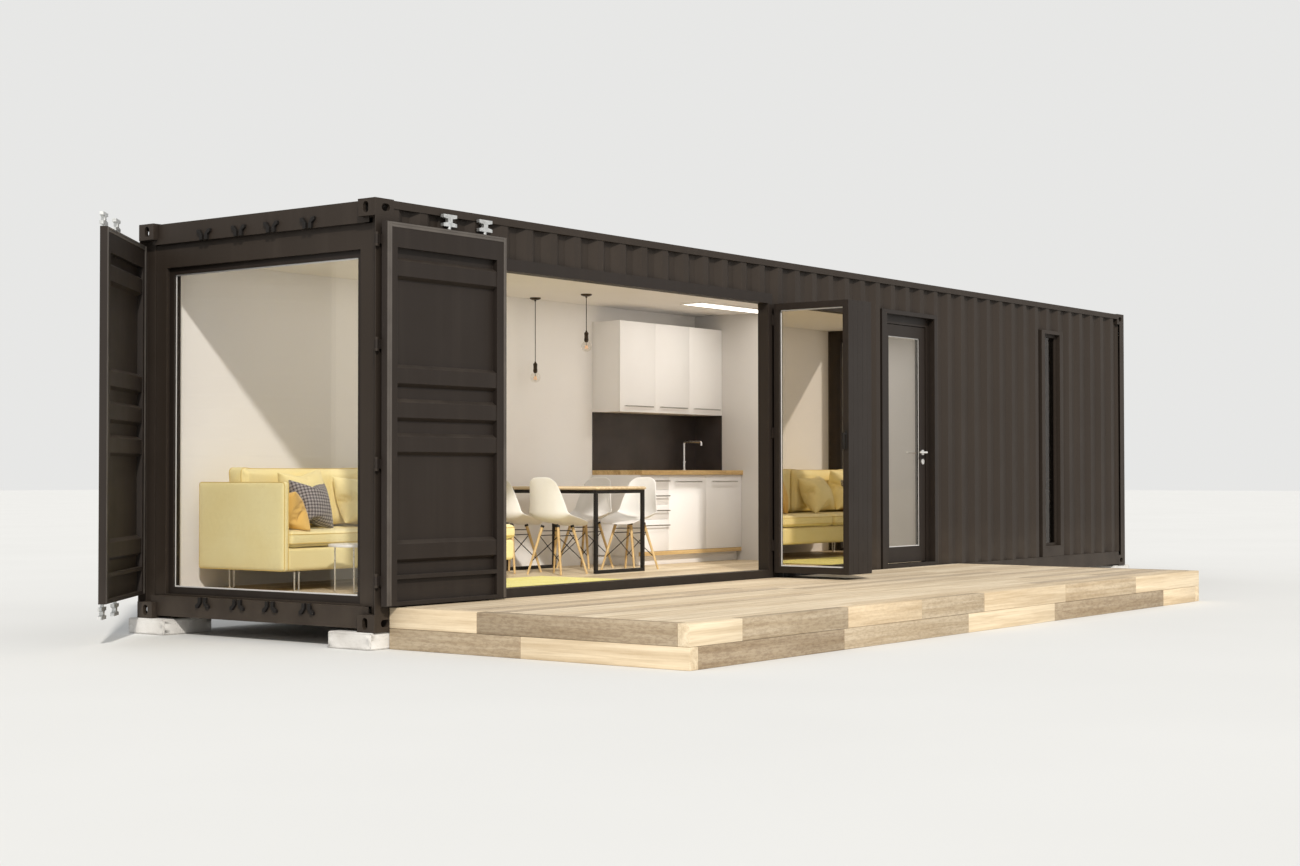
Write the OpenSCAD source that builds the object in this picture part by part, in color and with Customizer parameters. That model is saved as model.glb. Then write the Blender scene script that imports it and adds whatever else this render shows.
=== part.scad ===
/* [Container] */
// Length over the corner castings
box_len = 12192; // [11400:1:13716]
// Width over the corner castings
box_wid = 2438; // [2400:1:2600]
// Height over the corner castings
box_hgt = 2896; // [2870:1:3050]
// Thickness of the corrugated steel sheet
sheet_t = 2; // [1.5:0.1:4]
// Depth of the floor beams
beam_hgt = 122; // [100:1:125]
// Distance between floor beams
beam_pitch = 500; // [400:10:700]

/* [Corrugation] */
// Pitch of the side wall corrugation
side_pitch = 278; // [240:1:300]
// Depth of the side wall corrugation
side_depth = 36; // [30:1:38]
// Pitch of the far end wall corrugation
end_pitch = 250; // [220:1:280]
// Depth of the far end wall corrugation
end_depth = 45; // [36:1:50]
// Pitch of the roof corrugation
roof_pitch = 209; // [180:1:240]
// Depth of the roof corrugation
roof_depth = 20; // [14:1:26]

/* [Room] */
// Thickness of the insulated wall lining
lining_t = 64; // [40:1:100]
// Height of the finished floor above the underside of the box
floor_z = 200; // [175:1:215]
// Distance from the top of the box down to the finished ceiling
ceiling_drop = 246; // [196:1:266]
// Distance from the door end to the cross wall
partition_x = 6900; // [6860:1:7100]
// Thickness of the cross wall
partition_t = 100; // [75:1:150]
// How far the cross wall stands out from the back lining
partition_len = 1078; // [900:1:1200]

/* [Folding door opening] */
// Distance from the door end to the left jamb
opening_x = 1070; // [1000:1:1200]
// Width of the opening over its frame
opening_wid = 3720; // [3600:1:3760]
// Distance from the ceiling down to the heads of the openings
lintel_hgt = 50; // [40:1:80]
// Height of the head beam of the opening
head_hgt = 85; // [70:1:100]
// Height above the floor beams of the top of the sill bar
opening_sill_z = 232; // [222:1:240]
// Width of one folding leaf
fold_wid = 745; // [600:1:780]
// Thickness of one folding leaf
fold_t = 70; // [45:1:72]
// Distance from one folded leaf to the next
fold_pitch = 76; // [74:1:90]
// Number of folding leaves in the stack
fold_count = 5; // [3:1:6]

/* [Entrance door] */
// Distance from the door end to the door surround
door_x = 6656; // [6600:1:6660]
// Width of the left side of the surround
door_left_wid = 94; // [60:1:120]
// Clear width inside the surround
door_clear_wid = 914; // [860:1:960]
// Width of the right side of the surround
door_right_wid = 53; // [45:1:100]
// Width of the door frame bars
door_bar = 50; // [40:1:60]
// Thickness of the door leaf
door_t = 50; // [40:1:58]
// Width of the leaf's stiles
door_stile = 102; // [90:1:130]

/* [Slit window] */
// Distance from the door end to the slit window surround
slit_x = 10038; // [9900:1:10100]
// Width of the surround over all
slit_wid = 522; // [460:1:560]
// Width of the sides of the surround
slit_side = 78; // [60:1:100]

/* [Cargo doors] */
// Thickness of a cargo door leaf
leaf_t = 50; // [44:1:56]
// Width of the stiles of a leaf
leaf_stile = 100; // [80:1:120]
// Radius of a lock rod
rod_r = 14; // [10:0.5:15]
// Radius of a hinge pin
pin_r = 8; // [6:0.5:9]
// Angle at which the left leaf stands open
left_open = 51; // [30:1:90]

/* [Deck] */
// Distance from the door end to the deck's left edge
deck_x = 140; // [100:1:400]
// Length of the deck along the cabin
deck_len = 7990; // [7000:1:8200]
// Depth of the deck in front of the cabin
deck_dep = 2470; // [2000:1:2800]
// Height of the deck's top above the underside of the box
deck_z = 165; // [150:1:168]
// Thickness of the deck's edging timbers
edging_t = 90; // [60:1:120]
// Thickness of the deck boards
board_t = 35; // [24:1:45]

/* [Ground] */
// Height of the box above the ground
ground_gap = 115; // [90:1:150]
// Length of a foundation block
block_len = 450; // [300:1:500]
// Width of a foundation block
block_wid = 400; // [300:1:450]
// How far the first blocks stand out past the door end
block_out = 30; // [0:1:100]
// How far the last blocks stand out past the far end
block_out_far = 147; // [0:1:200]
// How far the back row of blocks stands out past the back wall
block_out_back = 66; // [40:1:150]

/* [Kitchen] */
// Distance from the cross wall to the left end of the kitchen
kitchen_len = 1670; // [1500:1:1900]
// Depth of the worktop
worktop_dep = 590; // [550:1:650]
// Height of the worktop above the floor
worktop_hgt = 890; // [850:1:950]
// Thickness of the worktop
worktop_t = 44; // [25:1:60]
// Underside of the wall units above the floor
wall_unit_z = 1440; // [1380:1:1500]
// Space between the wall units and the ceiling
wall_unit_drop = 153; // [100:1:300]
// Depth of the wall units
wall_unit_dep = 335; // [280:1:370]

/* [Furniture] */
// Distance from the door end to the table
table_x = 3820; // [3700:1:3900]
// Size of the table along the cabin
table_wid = 710; // [650:1:800]
// Size of the table across the cabin
table_len = 1080; // [900:1:1100]
// Height of the table
table_hgt = 745; // [700:1:780]
// Distance from the door end to the sofa
sofa_x = 390; // [385:1:600]
// Length of the sofa
sofa_len = 2580; // [2300:1:2600]
// Depth of the sofa
sofa_dep = 944; // [850:1:1000]
// Height of the sofa's arms above the floor
sofa_arm_hgt = 805; // [650:1:820]
// Distance from the door end to the rug
rug_x = 1100; // [1040:1:1300]
// Length of the rug
rug_len = 2130; // [1800:1:2140]
// Width of the rug
rug_wid = 850; // [700:1:900]
// Radius of the side table's top
side_table_r = 220; // [180:1:240]
// Height of the side table
side_table_hgt = 350; // [320:1:450]

/* [Hidden] */
$fn = 32;

// Corner castings, after the standard for freight containers
casting = [178, 162, 118];
casting_wall = 28;
casting_hole_at = [101.5, 89, 59];
top_slot = [124, 63.5];
side_slot = [79, 51];

// Steel frame
rail_z0 = 15;
rail_z1 = 160;
rail_flange = 50;
rail_t = 4.5;
top_rail = [60, 60];
roof_drop = 6;
beam_flange = 45;
beam_t = 4;
first_beam_x = 400;
ceiling_z = box_hgt - ceiling_drop;
top_rail_z0 = box_hgt - top_rail[1];
roof_z = box_hgt - roof_drop;
cross_z1 = 150;
seat_gap = 0.3;
sheet_inset = 6;
lining_y = sheet_inset + side_depth + sheet_t;
room_y0 = lining_y + lining_t;
room_y1 = box_wid - room_y0;
far_lining_x = box_len - sheet_inset - end_depth - sheet_t - lining_t;
slab_t = 50;

// Corner posts: a thin outer flange clears the cargo doors, the web stands behind them
post_x = 5;
post_flange_t = 6;
post_web_x = 76;
post_web_t = 6;
post_wid = 100;
post_return = lining_y;
far_post = 110;

// Door end
end_face_x = 45;
header_z = box_hgt - 154;
sill_z1 = 168;
sill_z0 = 20;
end_beam_dep = 105;
end_beam_t = 4;
infill_x = post_web_x + post_web_t;
infill_x1 = casting[0] - post_web_t;
infill_t = infill_x1 - infill_x;
window_side = 218;
window_z0 = 180;
window_z1 = header_z - 172;
window_bar = 50;
window_frame_x = infill_x + 28;
window_frame_dep = 60;
glass_t = 24;

// Cargo doors, worked out closed and then swung open about their pins
hinge_out = 15;
leaf_x = 20;
leaf_edge = 12;
leaf_gap = 10;
leaf_clear = 6;
leaf_z0 = sill_z1 + 8;
leaf_z1 = header_z - leaf_clear;
leaf_reach = (box_wid - leaf_gap) / 2;
leaf_wid = leaf_reach - leaf_edge;
leaf_top_rail = 169;
leaf_bottom_rail = 204;
rail_lip = 27;
rail_channel = 34;
panel_t = 3;
panel_x = leaf_x + 6;
rib_depth = leaf_t - 14;
rib_slope = 24;
rib_hgt = 150;
rib_step = 229;
end_rib_drop = [360, 306];
leaf_mid = (leaf_z0 + leaf_z1) / 2 + 27;
rib_mids = [leaf_z0 + end_rib_drop[0], leaf_mid - rib_step, leaf_mid, leaf_mid + rib_step,
    leaf_z1 - end_rib_drop[1]];
rod_x = leaf_x - rod_r;
rod_at = [682, 1050];
guide_wid = 120;
guide_hgt = 60;
guide_t = 6;
guide_end_drop = 90;
guide_shares = [0, 0.3, 0.66, 1];
guide_run = leaf_z1 - leaf_z0 - 2 * guide_end_drop;
guide_z = [for (f = guide_shares) leaf_z0 + guide_end_drop + f * guide_run];
rod_lift = 20;
cam_hgt = 84;
cam_reach = 112;
cam_wid = 136;
cam_bar = 22;
cam_waist = [44, 24];
handle_len = 330;
handle_hgt = 30;
handle_t = 10;
handle_z = 1330;
handle_hub = 34;
catch_size = [12, 46, 74];
hinge_first = 170;
hinge_last = 120;
hinge_shares = [0, 0.341, 0.692, 1];
hinge_run = leaf_z1 - leaf_z0 - hinge_first - hinge_last;
hinge_drop = [for (f = hinge_shares) hinge_first + f * hinge_run];
blade_t = 10;
blade_wid = 85;
blade_hgt = 60;
lug_r = 12;
lug_hgt = 16;
lug_gap = 0.4;
lug_arm = 12;
lug_foot = 20;
pin_play = 0.3;
keeper_gap = 5;
keeper_hgt = 76;
keeper_foot = [14, 42];
keeper_tip = [46, 70];
keeper_tip_hgt = 20;

// Openings
opening_x1 = opening_x + opening_wid;
opening_jamb = 60;
opening_head_z = ceiling_z - lintel_hgt;
opening_bottom_z = rail_z1 + 2;
fold_z0 = 209;
fold_z1 = opening_head_z - head_hgt - 2;
fold_bar = 56;
fold_out = 12;
fold_start = 4;
fold_hinge = [90, 28];
fold_plate = 20;
fold_hinge_shares = [0.08, 0.5, 0.92];
fold_glass_t = 20;
door_clear_x = door_x + door_left_wid;
door_clear_x1 = door_clear_x + door_clear_wid;
door_x1 = door_clear_x1 + door_right_wid;
door_head_z = opening_head_z - 38;
door_set_back = 70;
door_frame_y1 = room_y0 + 20;
leaf_play = 5;
lock_play = 9;
door_leaf_x = door_clear_x + door_bar + leaf_play;
door_leaf_x1 = door_clear_x1 - door_bar - lock_play;
door_leaf_y1 = door_frame_y1;
door_leaf_y = door_leaf_y1 - door_t;
door_leaf_z = floor_z + 8;
door_bar_z = door_head_z - 82;
door_leaf_z1 = door_bar_z - 6;
door_bottom_rail = 150;
door_top_rail = 110;
knuckle_r = 8;
knuckle_off = knuckle_r + 0.6;
door_pin = [door_clear_x + door_bar, door_leaf_y1 + knuckle_off];
knuckle_pin_r = 4;
knuckle_hgt = 40;
knuckle_gap = 0.4;
knuckle_drop = 200;
knuckle_foot = [20, 30];
knuckle_lap = 2;
knuckle_z = [door_leaf_z + knuckle_drop, (door_leaf_z + door_leaf_z1) / 2, door_leaf_z1 - knuckle_drop];
handle_at_z = 1261;
door_glass_t = 24;
lever_rose = [26, 8];
lever_neck = [10, 48];
lever_grip = [9, 125];
lever_lock_drop = 90;
slit_x1 = slit_x + slit_wid;
slit_head = 38;
slit_z0 = 275;
slit_bar = 30;
slit_bar_dep = 60;
slit_bar_y = 50;

// Deck
timber_hgt = (deck_z + ground_gap) / 2;
deck_x1 = deck_x + deck_len;
wall_gap = 0.3;
joist_count = 11;
block_in = 10;
joist_t = 45;
joist_hgt = 120;

// Furniture
room_z = floor_z;
kitchen_x1 = partition_x;
kitchen_x = kitchen_x1 - kitchen_len;
front_t = 19;
front_gap = 3;
plinth_hgt = 90;
oak_strip = 40;
plinth_back = 60;
drawer_unit = 450;
drawer_count = 4;
back_y = room_y1;
worktop_y = back_y - worktop_dep;
splash_t = 8;
bar_r = 5;
bar_out = 30;
bar_len = 160;
tap_at = [kitchen_x1 - 367, back_y - 130];
tap_hgt = 280;
tap_reach = 200;
tap_r = 11;
lamp_x = 4262;
lamp_y = [back_y - 115, back_y - 707];
lamp_drop = [679, 424];
canopy_r = 50;
canopy_hgt = 24;
flex_r = 4;
socket_r = 20;
socket_hgt = 90;
bulb_r = 48;
light_size = [1300, 260, 12];
light_inset = [1365, 1070];
light_at = [kitchen_x1 - light_inset[0], back_y - light_inset[1]];
wall_unit_hgt = ceiling_z - wall_unit_drop - room_z - wall_unit_z;
handle_inset = [40, 45, 60, 70];
table_top_t = 30;
table_bar = 30;
table_edge = [10, 20];
table_y = back_y - 100 - table_len;
table_corner = 20;
chair_seat_hgt = 440;
chair_wid = 450;
chair_dep = 420;
chair_shell_t = 8;
chair_lip_r = 45;
chair_bend_r = 90;
chair_lean = 14;
chair_back_len = 350;
chair_corner_r = 80;
chair_leg_r = [13, 9];
chair_leg_top = [95, 85];
chair_leg_foot = [175, 185];
chair_leg_x = 215;
chair_brace_r = 4;
chair_brace_z = [110, 330];
chair_tuck = [15, 90];
chair_shares = [0.262, 0.738];
sofa_arm_t = 60;
sofa_leg_hgt = 145;
sofa_leg_r = 7;
sofa_leg_wid = 44;
sofa_leg_in = [160, 45, 200];
sofa_seat_hgt = 324;
sofa_back_t = 220;
sofa_back_hgt = 790;
sofa_corner = 34;
seat_cushion_t = 118;
back_cushion_hgt = 478;
back_cushion_t = 200;
cushion_corner = 45;
scatter_t = 95;
// Loose cushions along the back: distance from the arm, side, lean and distance from the back
scatter_along = [[250, 450, 12, 0], [250, 380, 20, 125], [820, 430, 27, 0], [1650, 420, 18, 0],
    [2085, 420, 18, 0]];
// Loose cushion against the arm: side, thickness, lean and distance from the seat's edge
scatter_arm = [340, 80, 30, 9];
soft_gap = 0.3;
sofa_y1 = back_y - 95;
sofa_y = sofa_y1 - sofa_dep;
rug_gap = 21;
rug_y = sofa_y - rug_gap - rug_wid;
rug_t = 10;
side_table_in = 405;
side_table_gap = 121;
side_table_at = [sofa_x + side_table_in, sofa_y - side_table_gap - side_table_r];
side_table_t = 20;
side_table_leg_r = 5;
side_table_leg_in = 50;
side_table_leg_wid = 70;

// The row's origin: middle of the whole outline, on the ground
left_tip_x = leaf_x * cos(left_open) - (leaf_reach + hinge_out) * sin(left_open);
outline_y1 = box_wid + max(hinge_out + lug_r, block_out_back);
mid = [(left_tip_x + box_len + block_out_far) / 2, (outline_y1 - deck_dep) / 2];

module from_corner() {
    translate([-mid[0], -mid[1], ground_gap]) children();
}

module flip(v, on) {
    if (on) mirror(v) children();
    else children();
}

// A box given by its two opposite corners
module block(a, b) {
    translate(a) cube(b - a);
}

// A ring of bars in the XZ plane: widths are [left, right, bottom, top]
module ring(a, b, bars) {
    difference() {
        block(a, b);
        block([a[0] + bars[0], a[1] - 1, a[2] + bars[2]], [b[0] - bars[1], b[1] + 1, b[2] - bars[3]]);
    }
}

// A flat slab with rounded corners, centred on X and Y
module rounded(size, r, hgt) {
    union() {
        translate([0, 0, hgt / 2]) cube([size[0] - 2 * r, size[1], hgt], center = true);
        translate([0, 0, hgt / 2]) cube([size[0], size[1] - 2 * r, hgt], center = true);
        for (i = [-1, 1], j = [-1, 1]) translate([i * (size[0] / 2 - r), j * (size[1] / 2 - r), 0])
            cylinder(r = r, h = hgt);
    }
}

// A round bar from one point to another, with a radius for each end
module bar(a, b, r1, r2) {
    v = b - a;
    translate(a) rotate([0, acos(v[2] / norm(v)), atan2(v[1], v[0])]) cylinder(r1 = r1, r2 = r2, h = norm(v));
}

// Points on an arc in the plane, from one angle to another
function arc(c, r, a0, a1, n) =
    [for (i = [0 : n]) let (a = a0 + (a1 - a0) * i / n) [c[0] + r * cos(a), c[1] + r * sin(a)]];

// A slot with round ends, long side along X, cut along Z
module slot(size, hgt) {
    run = size[0] - size[1];
    for (s = [-1, 1]) translate([s * run / 2, 0, 0]) cylinder(d = size[1], h = hgt, center = true);
    cube([run, size[1], hgt], center = true);
}

// Corrugated profile: how deep the fold lies at a distance u from the middle of a recess
function fold_depth(u, pitch, flat, slope, depth) =
    let (w = u - pitch * floor(u / pitch), v = min(w, pitch - w))
    v <= flat / 2 ? depth : v >= flat / 2 + slope ? 0 : depth * (1 - (v - flat / 2) / slope);

function fold_breaks(a, b, pitch, ref, flat, slope) =
    [for (k = [floor((a - ref) / pitch) - 1 : ceil((b - ref) / pitch) + 1])
        for (o = [-flat / 2 - slope, -flat / 2, flat / 2, flat / 2 + slope])
            let (x = ref + k * pitch + o) if (x > a + 0.5 && x < b - 0.5) x];

module corrugation(a, b, pitch, ref, depth, t) {
    flat = pitch * 0.252;
    slope = pitch * 0.245;
    xs = concat([a], fold_breaks(a, b, pitch, ref, flat, slope), [b]);
    n = len(xs) - 1;
    polygon(concat(
        [for (x = xs) [x, fold_depth(x - ref, pitch, flat, slope, depth)]],
        [for (i = [n : -1 : 0]) [xs[i], fold_depth(xs[i] - ref, pitch, flat, slope, depth) + t]]
    ));
}

// Middle of the recess that the side walls are set out from
side_ref = 1446;

module side_sheet(x0, x1, z0, z1) {
    translate([0, sheet_inset, z0]) linear_extrude(z1 - z0)
        corrugation(x0, x1, side_pitch, side_ref, side_depth, sheet_t);
}

module floor_beam() {
    w = beam_flange;
    t = beam_t;
    h = beam_hgt;
    rotate([90, 0, 0]) linear_extrude(box_wid - 2 * rail_t, center = true)
        polygon([[0, 0], [w, 0], [w, t], [t, t], [t, h - t], [w, h - t], [w, h], [0, h]]);
}

module bottom_rail() {
    translate([casting[0], 0, 0]) rotate([90, 0, 90]) linear_extrude(box_len - 2 * casting[0])
        polygon([[0, rail_z0], [rail_flange, rail_z0], [rail_flange, rail_z0 + rail_t],
            [rail_t, rail_z0 + rail_t], [rail_t, rail_z1 - rail_t], [rail_flange, rail_z1 - rail_t],
            [rail_flange, rail_z1], [0, rail_z1]]);
}

module base_frame() {
    first = first_beam_x;
    count = floor((box_len - 2 * first) / beam_pitch);
    color([0.20, 0.18, 0.17]) from_corner() {
        bottom_rail();
        translate([0, box_wid, 0]) mirror([0, 1, 0]) bottom_rail();
        for (k = [0 : count])
            translate([first + k * beam_pitch, box_wid / 2, cross_z1 - beam_hgt]) floor_beam();
    }
}

module one_casting() {
    inner = casting - [casting_wall, casting_wall, 2 * casting_wall] - [casting_wall, casting_wall, 0];
    difference() {
        cube(casting);
        translate([casting_wall, casting_wall, casting_wall]) cube(inner);
        translate([casting_hole_at[0], casting_hole_at[1], 0]) slot(top_slot, 3 * casting_wall);
        translate([casting_hole_at[0], 0, casting_hole_at[2]]) rotate([90, 0, 0])
            slot(side_slot, 3 * casting_wall);
        translate([0, casting_hole_at[1], casting_hole_at[2]]) rotate([0, 90, 0])
            slot(side_slot, 3 * casting_wall);
    }
}

// Sets its children at the front side and, mirrored, at the back side
module both_sides() {
    children();
    translate([0, box_wid, 0]) mirror([0, 1, 0]) children();
}

// Sets its children at the eight corners of the box
module at_corners() {
    for (i = [0, 1], j = [0, 1], k = [0, 1])
        translate([i * box_len, j * box_wid, k * box_hgt])
            flip([1, 0, 0], i == 1) flip([0, 1, 0], j == 1) flip([0, 0, 1], k == 1) children();
}

module corner_castings() {
    color([0.22, 0.20, 0.19]) from_corner() at_corners() one_casting();
}

// Cuts a sheet back to the faces of the castings
module clear_of_castings() {
    difference() {
        children();
        at_corners() cube(casting);
    }
}

module door_post() {
    translate([0, 0, casting[2]]) linear_extrude(box_hgt - 2 * casting[2])
        polygon([[post_x, 0], [casting[0], 0], [casting[0], post_return], [infill_x1, post_return],
            [infill_x1, post_flange_t], [infill_x, post_flange_t], [infill_x, post_wid],
            [post_web_x, post_wid], [post_web_x, post_flange_t], [post_x, post_flange_t]]);
}

module far_end_post() {
    t = post_web_t;
    translate([0, 0, casting[2]]) linear_extrude(box_hgt - 2 * casting[2])
        polygon([[0, 0], [far_post, 0], [far_post, t], [t, t], [t, far_post], [0, far_post]]);
}

module corner_posts() {
    color([0.24, 0.22, 0.21]) from_corner() both_sides() {
        door_post();
        translate([box_len, 0, 0]) mirror([1, 0, 0]) far_end_post();
    }
}

module top_side_rails() {
    color([0.24, 0.22, 0.21]) from_corner() for (y = [0, box_wid - top_rail[0]])
        block([casting[0], y, top_rail_z0], [box_len - casting[0], y + top_rail[0], roof_z]);
}

// A channel that opens towards the room, run between the castings of the door end
module end_beam(z0, z1) {
    t = end_beam_t;
    x0 = end_face_x;
    x1 = end_face_x + end_beam_dep;
    step = casting[2] + seat_gap;
    translate([0, box_wid - casting[1], 0]) rotate([90, 0, 0]) linear_extrude(box_wid - 2 * casting[1])
        polygon([[x0, z0], [x1, z0], [x1, z0 + t], [x0 + t, z0 + t], [x0 + t, z1 - t], [x1, z1 - t], [x1, z1],
            [x0, z1]]);
    both_sides() block([x0, post_wid + seat_gap, max(z0, step)],
        [x0 + t, casting[1] + t, min(z1, box_hgt - step)]);
}

module door_header() {
    color([0.24, 0.22, 0.21]) from_corner() end_beam(header_z, roof_z);
}

module door_sill() {
    color([0.24, 0.22, 0.21]) from_corner() end_beam(sill_z0, sill_z1);
}

module far_end_rails() {
    color([0.24, 0.22, 0.21]) from_corner() {
        block([box_len - top_rail[0], casting[1], top_rail_z0], [box_len, box_wid - casting[1], roof_z]);
        block([box_len - top_rail[0], casting[1], rail_z0], [box_len, box_wid - casting[1], rail_z1]);
    }
}

module cabin_floor() {
    color([0.80, 0.72, 0.60]) from_corner()
        block([infill_x1, room_y0, cross_z1], [far_lining_x, room_y1, floor_z]);
}

module roof_sheet() {
    x0 = end_face_x + end_beam_dep;
    color([0.24, 0.22, 0.21]) from_corner() clear_of_castings()
        translate([0, box_wid - top_rail[0], roof_z]) rotate([90, 0, 0]) mirror([0, 1, 0])
            linear_extrude(box_wid - 2 * top_rail[0])
                corrugation(x0, box_len - top_rail[0], roof_pitch, box_len / 2, roof_depth, sheet_t);
}

module ceiling_lining() {
    color([0.92, 0.90, 0.86]) from_corner()
        block([infill_x1 + seat_gap, lining_y, ceiling_z],
            [far_lining_x + lining_t, box_wid - lining_y, ceiling_z + slab_t]);
}

module back_wall_sheet() {
    color([0.25, 0.22, 0.21]) from_corner() clear_of_castings() translate([0, box_wid, 0]) mirror([0, 1, 0])
        side_sheet(casting[0], box_len - far_post, rail_z1, top_rail_z0);
}

module far_end_wall_sheet() {
    color([0.25, 0.22, 0.21]) from_corner() clear_of_castings()
        translate([box_len - sheet_inset, 0, rail_z1]) rotate([0, 0, 90])
            linear_extrude(top_rail_z0 - rail_z1)
                corrugation(far_post, box_wid - far_post, end_pitch, box_wid / 2, end_depth, sheet_t);
}

module front_wall_sheets() {
    color([0.25, 0.22, 0.21]) from_corner() clear_of_castings() {
        side_sheet(casting[0], opening_x, rail_z1, top_rail_z0);
        side_sheet(opening_x1, door_x, rail_z1, top_rail_z0);
        side_sheet(door_x1, slit_x, rail_z1, top_rail_z0);
        side_sheet(slit_x1, box_len - far_post, rail_z1, top_rail_z0);
    }
}

module front_fascia_sheets() {
    color([0.25, 0.22, 0.21]) from_corner() {
        side_sheet(opening_x, opening_x1, opening_head_z, top_rail_z0);
        side_sheet(door_x, door_x1, opening_head_z, top_rail_z0);
        side_sheet(slit_x, slit_x1, opening_head_z, top_rail_z0);
    }
}

module wall_linings() {
    z0 = rail_z1;
    color([0.92, 0.90, 0.86]) from_corner() {
        for (x = [[infill_x1, opening_x], [opening_x1, door_x], [door_x1, slit_x], [slit_x1, far_lining_x]])
            block([x[0], lining_y, z0], [x[1], room_y0, ceiling_z]);
        block([infill_x1, room_y1, z0], [far_lining_x, box_wid - lining_y, ceiling_z]);
        block([far_lining_x, far_post, z0], [far_lining_x + lining_t, box_wid - far_post, ceiling_z]);
    }
}

module partition_wall() {
    color([0.90, 0.88, 0.85]) from_corner()
        block([partition_x, room_y1 - partition_len, floor_z],
            [partition_x + partition_t, room_y1, ceiling_z]);
}

// Steel head, jambs and sill, with the lintel that fills up to the ceiling behind
module surround(x0, x1, bars) {
    ring([x0, 0, opening_bottom_z], [x1, room_y0, opening_head_z], bars);
    block([x0, lining_y, opening_head_z], [x1, room_y0, ceiling_z]);
}

module opening_frame() {
    sill = opening_sill_z - opening_bottom_z;
    color([0.20, 0.18, 0.17]) from_corner()
        surround(opening_x, opening_x1, [opening_jamb, opening_jamb, sill, head_hgt]);
}

fold_y0 = -fold_out - fold_wid;
fold_x0 = opening_x1 + fold_start;

module folding_door_frames() {
    z0 = fold_z0;
    z1 = fold_z1;
    hinge_z = [for (f = fold_hinge_shares) z0 + (z1 - z0) * f];
    color([0.20, 0.18, 0.17]) from_corner() {
        for (k = [0 : fold_count - 1]) translate([fold_x0 + k * fold_pitch, 0, 0]) rotate([0, 0, -90])
            ring([fold_out, 0, z0], [fold_out + fold_wid, fold_t, z1], fold_bar * [1, 1, 1, 1]);
        for (k = [0 : fold_count - 2], z = hinge_z)
            translate([fold_x0 + k * fold_pitch + fold_t, k % 2 == 0 ? fold_y0 : -fold_out - fold_hinge[1],
                z]) cube([fold_pitch - fold_t, fold_hinge[1], fold_hinge[0]]);
        for (z = hinge_z)
            block([opening_x1 - fold_plate, -fold_out, z], [fold_x0 + fold_plate, 0, z + fold_hinge[0]]);
    }
}

module folding_door_glass() {
    edge = (fold_t - fold_glass_t) / 2;
    color([0.55, 0.50, 0.42, 0.4]) from_corner() for (k = [0 : fold_count - 1])
        translate([fold_x0 + k * fold_pitch + edge, fold_y0 + fold_bar, fold_z0 + fold_bar])
            cube([fold_glass_t, fold_wid - 2 * fold_bar, fold_z1 - fold_z0 - 2 * fold_bar]);
}

module door_surround() {
    sill = floor_z - opening_bottom_z;
    color([0.20, 0.18, 0.17]) from_corner() {
        surround(door_x, door_x1, [door_left_wid, door_right_wid, sill, opening_head_z - door_head_z]);
        ring([door_clear_x, door_set_back, floor_z], [door_clear_x1, door_frame_y1, door_head_z],
            [door_bar, door_bar, 0, door_head_z - door_bar_z]);
        for (z = knuckle_z) translate([door_pin[0], door_pin[1], z]) {
            cylinder(r = knuckle_pin_r, h = 3 * knuckle_hgt, center = true);
            for (s = [-1, 1]) translate([0, 0, s * knuckle_hgt]) {
                cylinder(r = knuckle_r, h = knuckle_hgt, center = true);
                block([-knuckle_foot[0], -knuckle_off, -knuckle_hgt / 2], [0, -knuckle_lap, knuckle_hgt / 2]);
            }
        }
    }
}

module entrance_leaf() {
    mid_hgt = knuckle_hgt - 2 * knuckle_gap;
    color([0.20, 0.18, 0.17]) from_corner() difference() {
        union() {
            ring([door_leaf_x, door_leaf_y, door_leaf_z], [door_leaf_x1, door_leaf_y1, door_leaf_z1],
                [door_stile, door_stile, door_bottom_rail, door_top_rail]);
            for (z = knuckle_z) translate([door_pin[0], door_pin[1], z]) {
                cylinder(r = knuckle_r, h = mid_hgt, center = true);
                block([0, -knuckle_off, -mid_hgt / 2], [knuckle_foot[1], -2 * knuckle_lap, mid_hgt / 2]);
            }
        }
        for (z = knuckle_z) translate([door_pin[0], door_pin[1], z])
            cylinder(r = knuckle_pin_r + pin_play, h = knuckle_hgt, center = true);
    }
}

module entrance_glass() {
    edge = (door_t - door_glass_t) / 2;
    color([0.5, 0.5, 0.45, 0.4]) from_corner()
        block([door_leaf_x + door_stile, door_leaf_y + edge, door_leaf_z + door_bottom_rail],
            [door_leaf_x1 - door_stile, door_leaf_y1 - edge, door_leaf_z1 - door_top_rail]);
}

module lever_handle() {
    for (z = [0, -lever_lock_drop]) translate([0, 0, z]) rotate([90, 0, 0])
        cylinder(r = lever_rose[0], h = lever_rose[1]);
    rotate([90, 0, 0]) cylinder(r = lever_neck[0], h = lever_neck[1]);
    translate([0, -lever_neck[1], 0]) {
        sphere(r = lever_neck[0]);
        rotate([0, -90, 0]) cylinder(r1 = lever_neck[0], r2 = lever_grip[0], h = lever_grip[1]);
    }
}

module entrance_handles() {
    x = door_leaf_x1 - door_stile / 2;
    color([0.75, 0.74, 0.72]) from_corner() {
        translate([x, door_leaf_y, handle_at_z]) lever_handle();
        translate([x, door_leaf_y1, handle_at_z]) mirror([0, 1, 0]) lever_handle();
    }
}

module slit_surround() {
    color([0.20, 0.18, 0.17]) from_corner() {
        surround(slit_x, slit_x1, [slit_side, slit_side, slit_z0 - opening_bottom_z, slit_head]);
        ring([slit_x + slit_side, slit_bar_y, slit_z0],
            [slit_x1 - slit_side, slit_bar_y + slit_bar_dep, opening_head_z - slit_head],
            [slit_bar, slit_bar, slit_bar, slit_bar]);
    }
}

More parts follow.
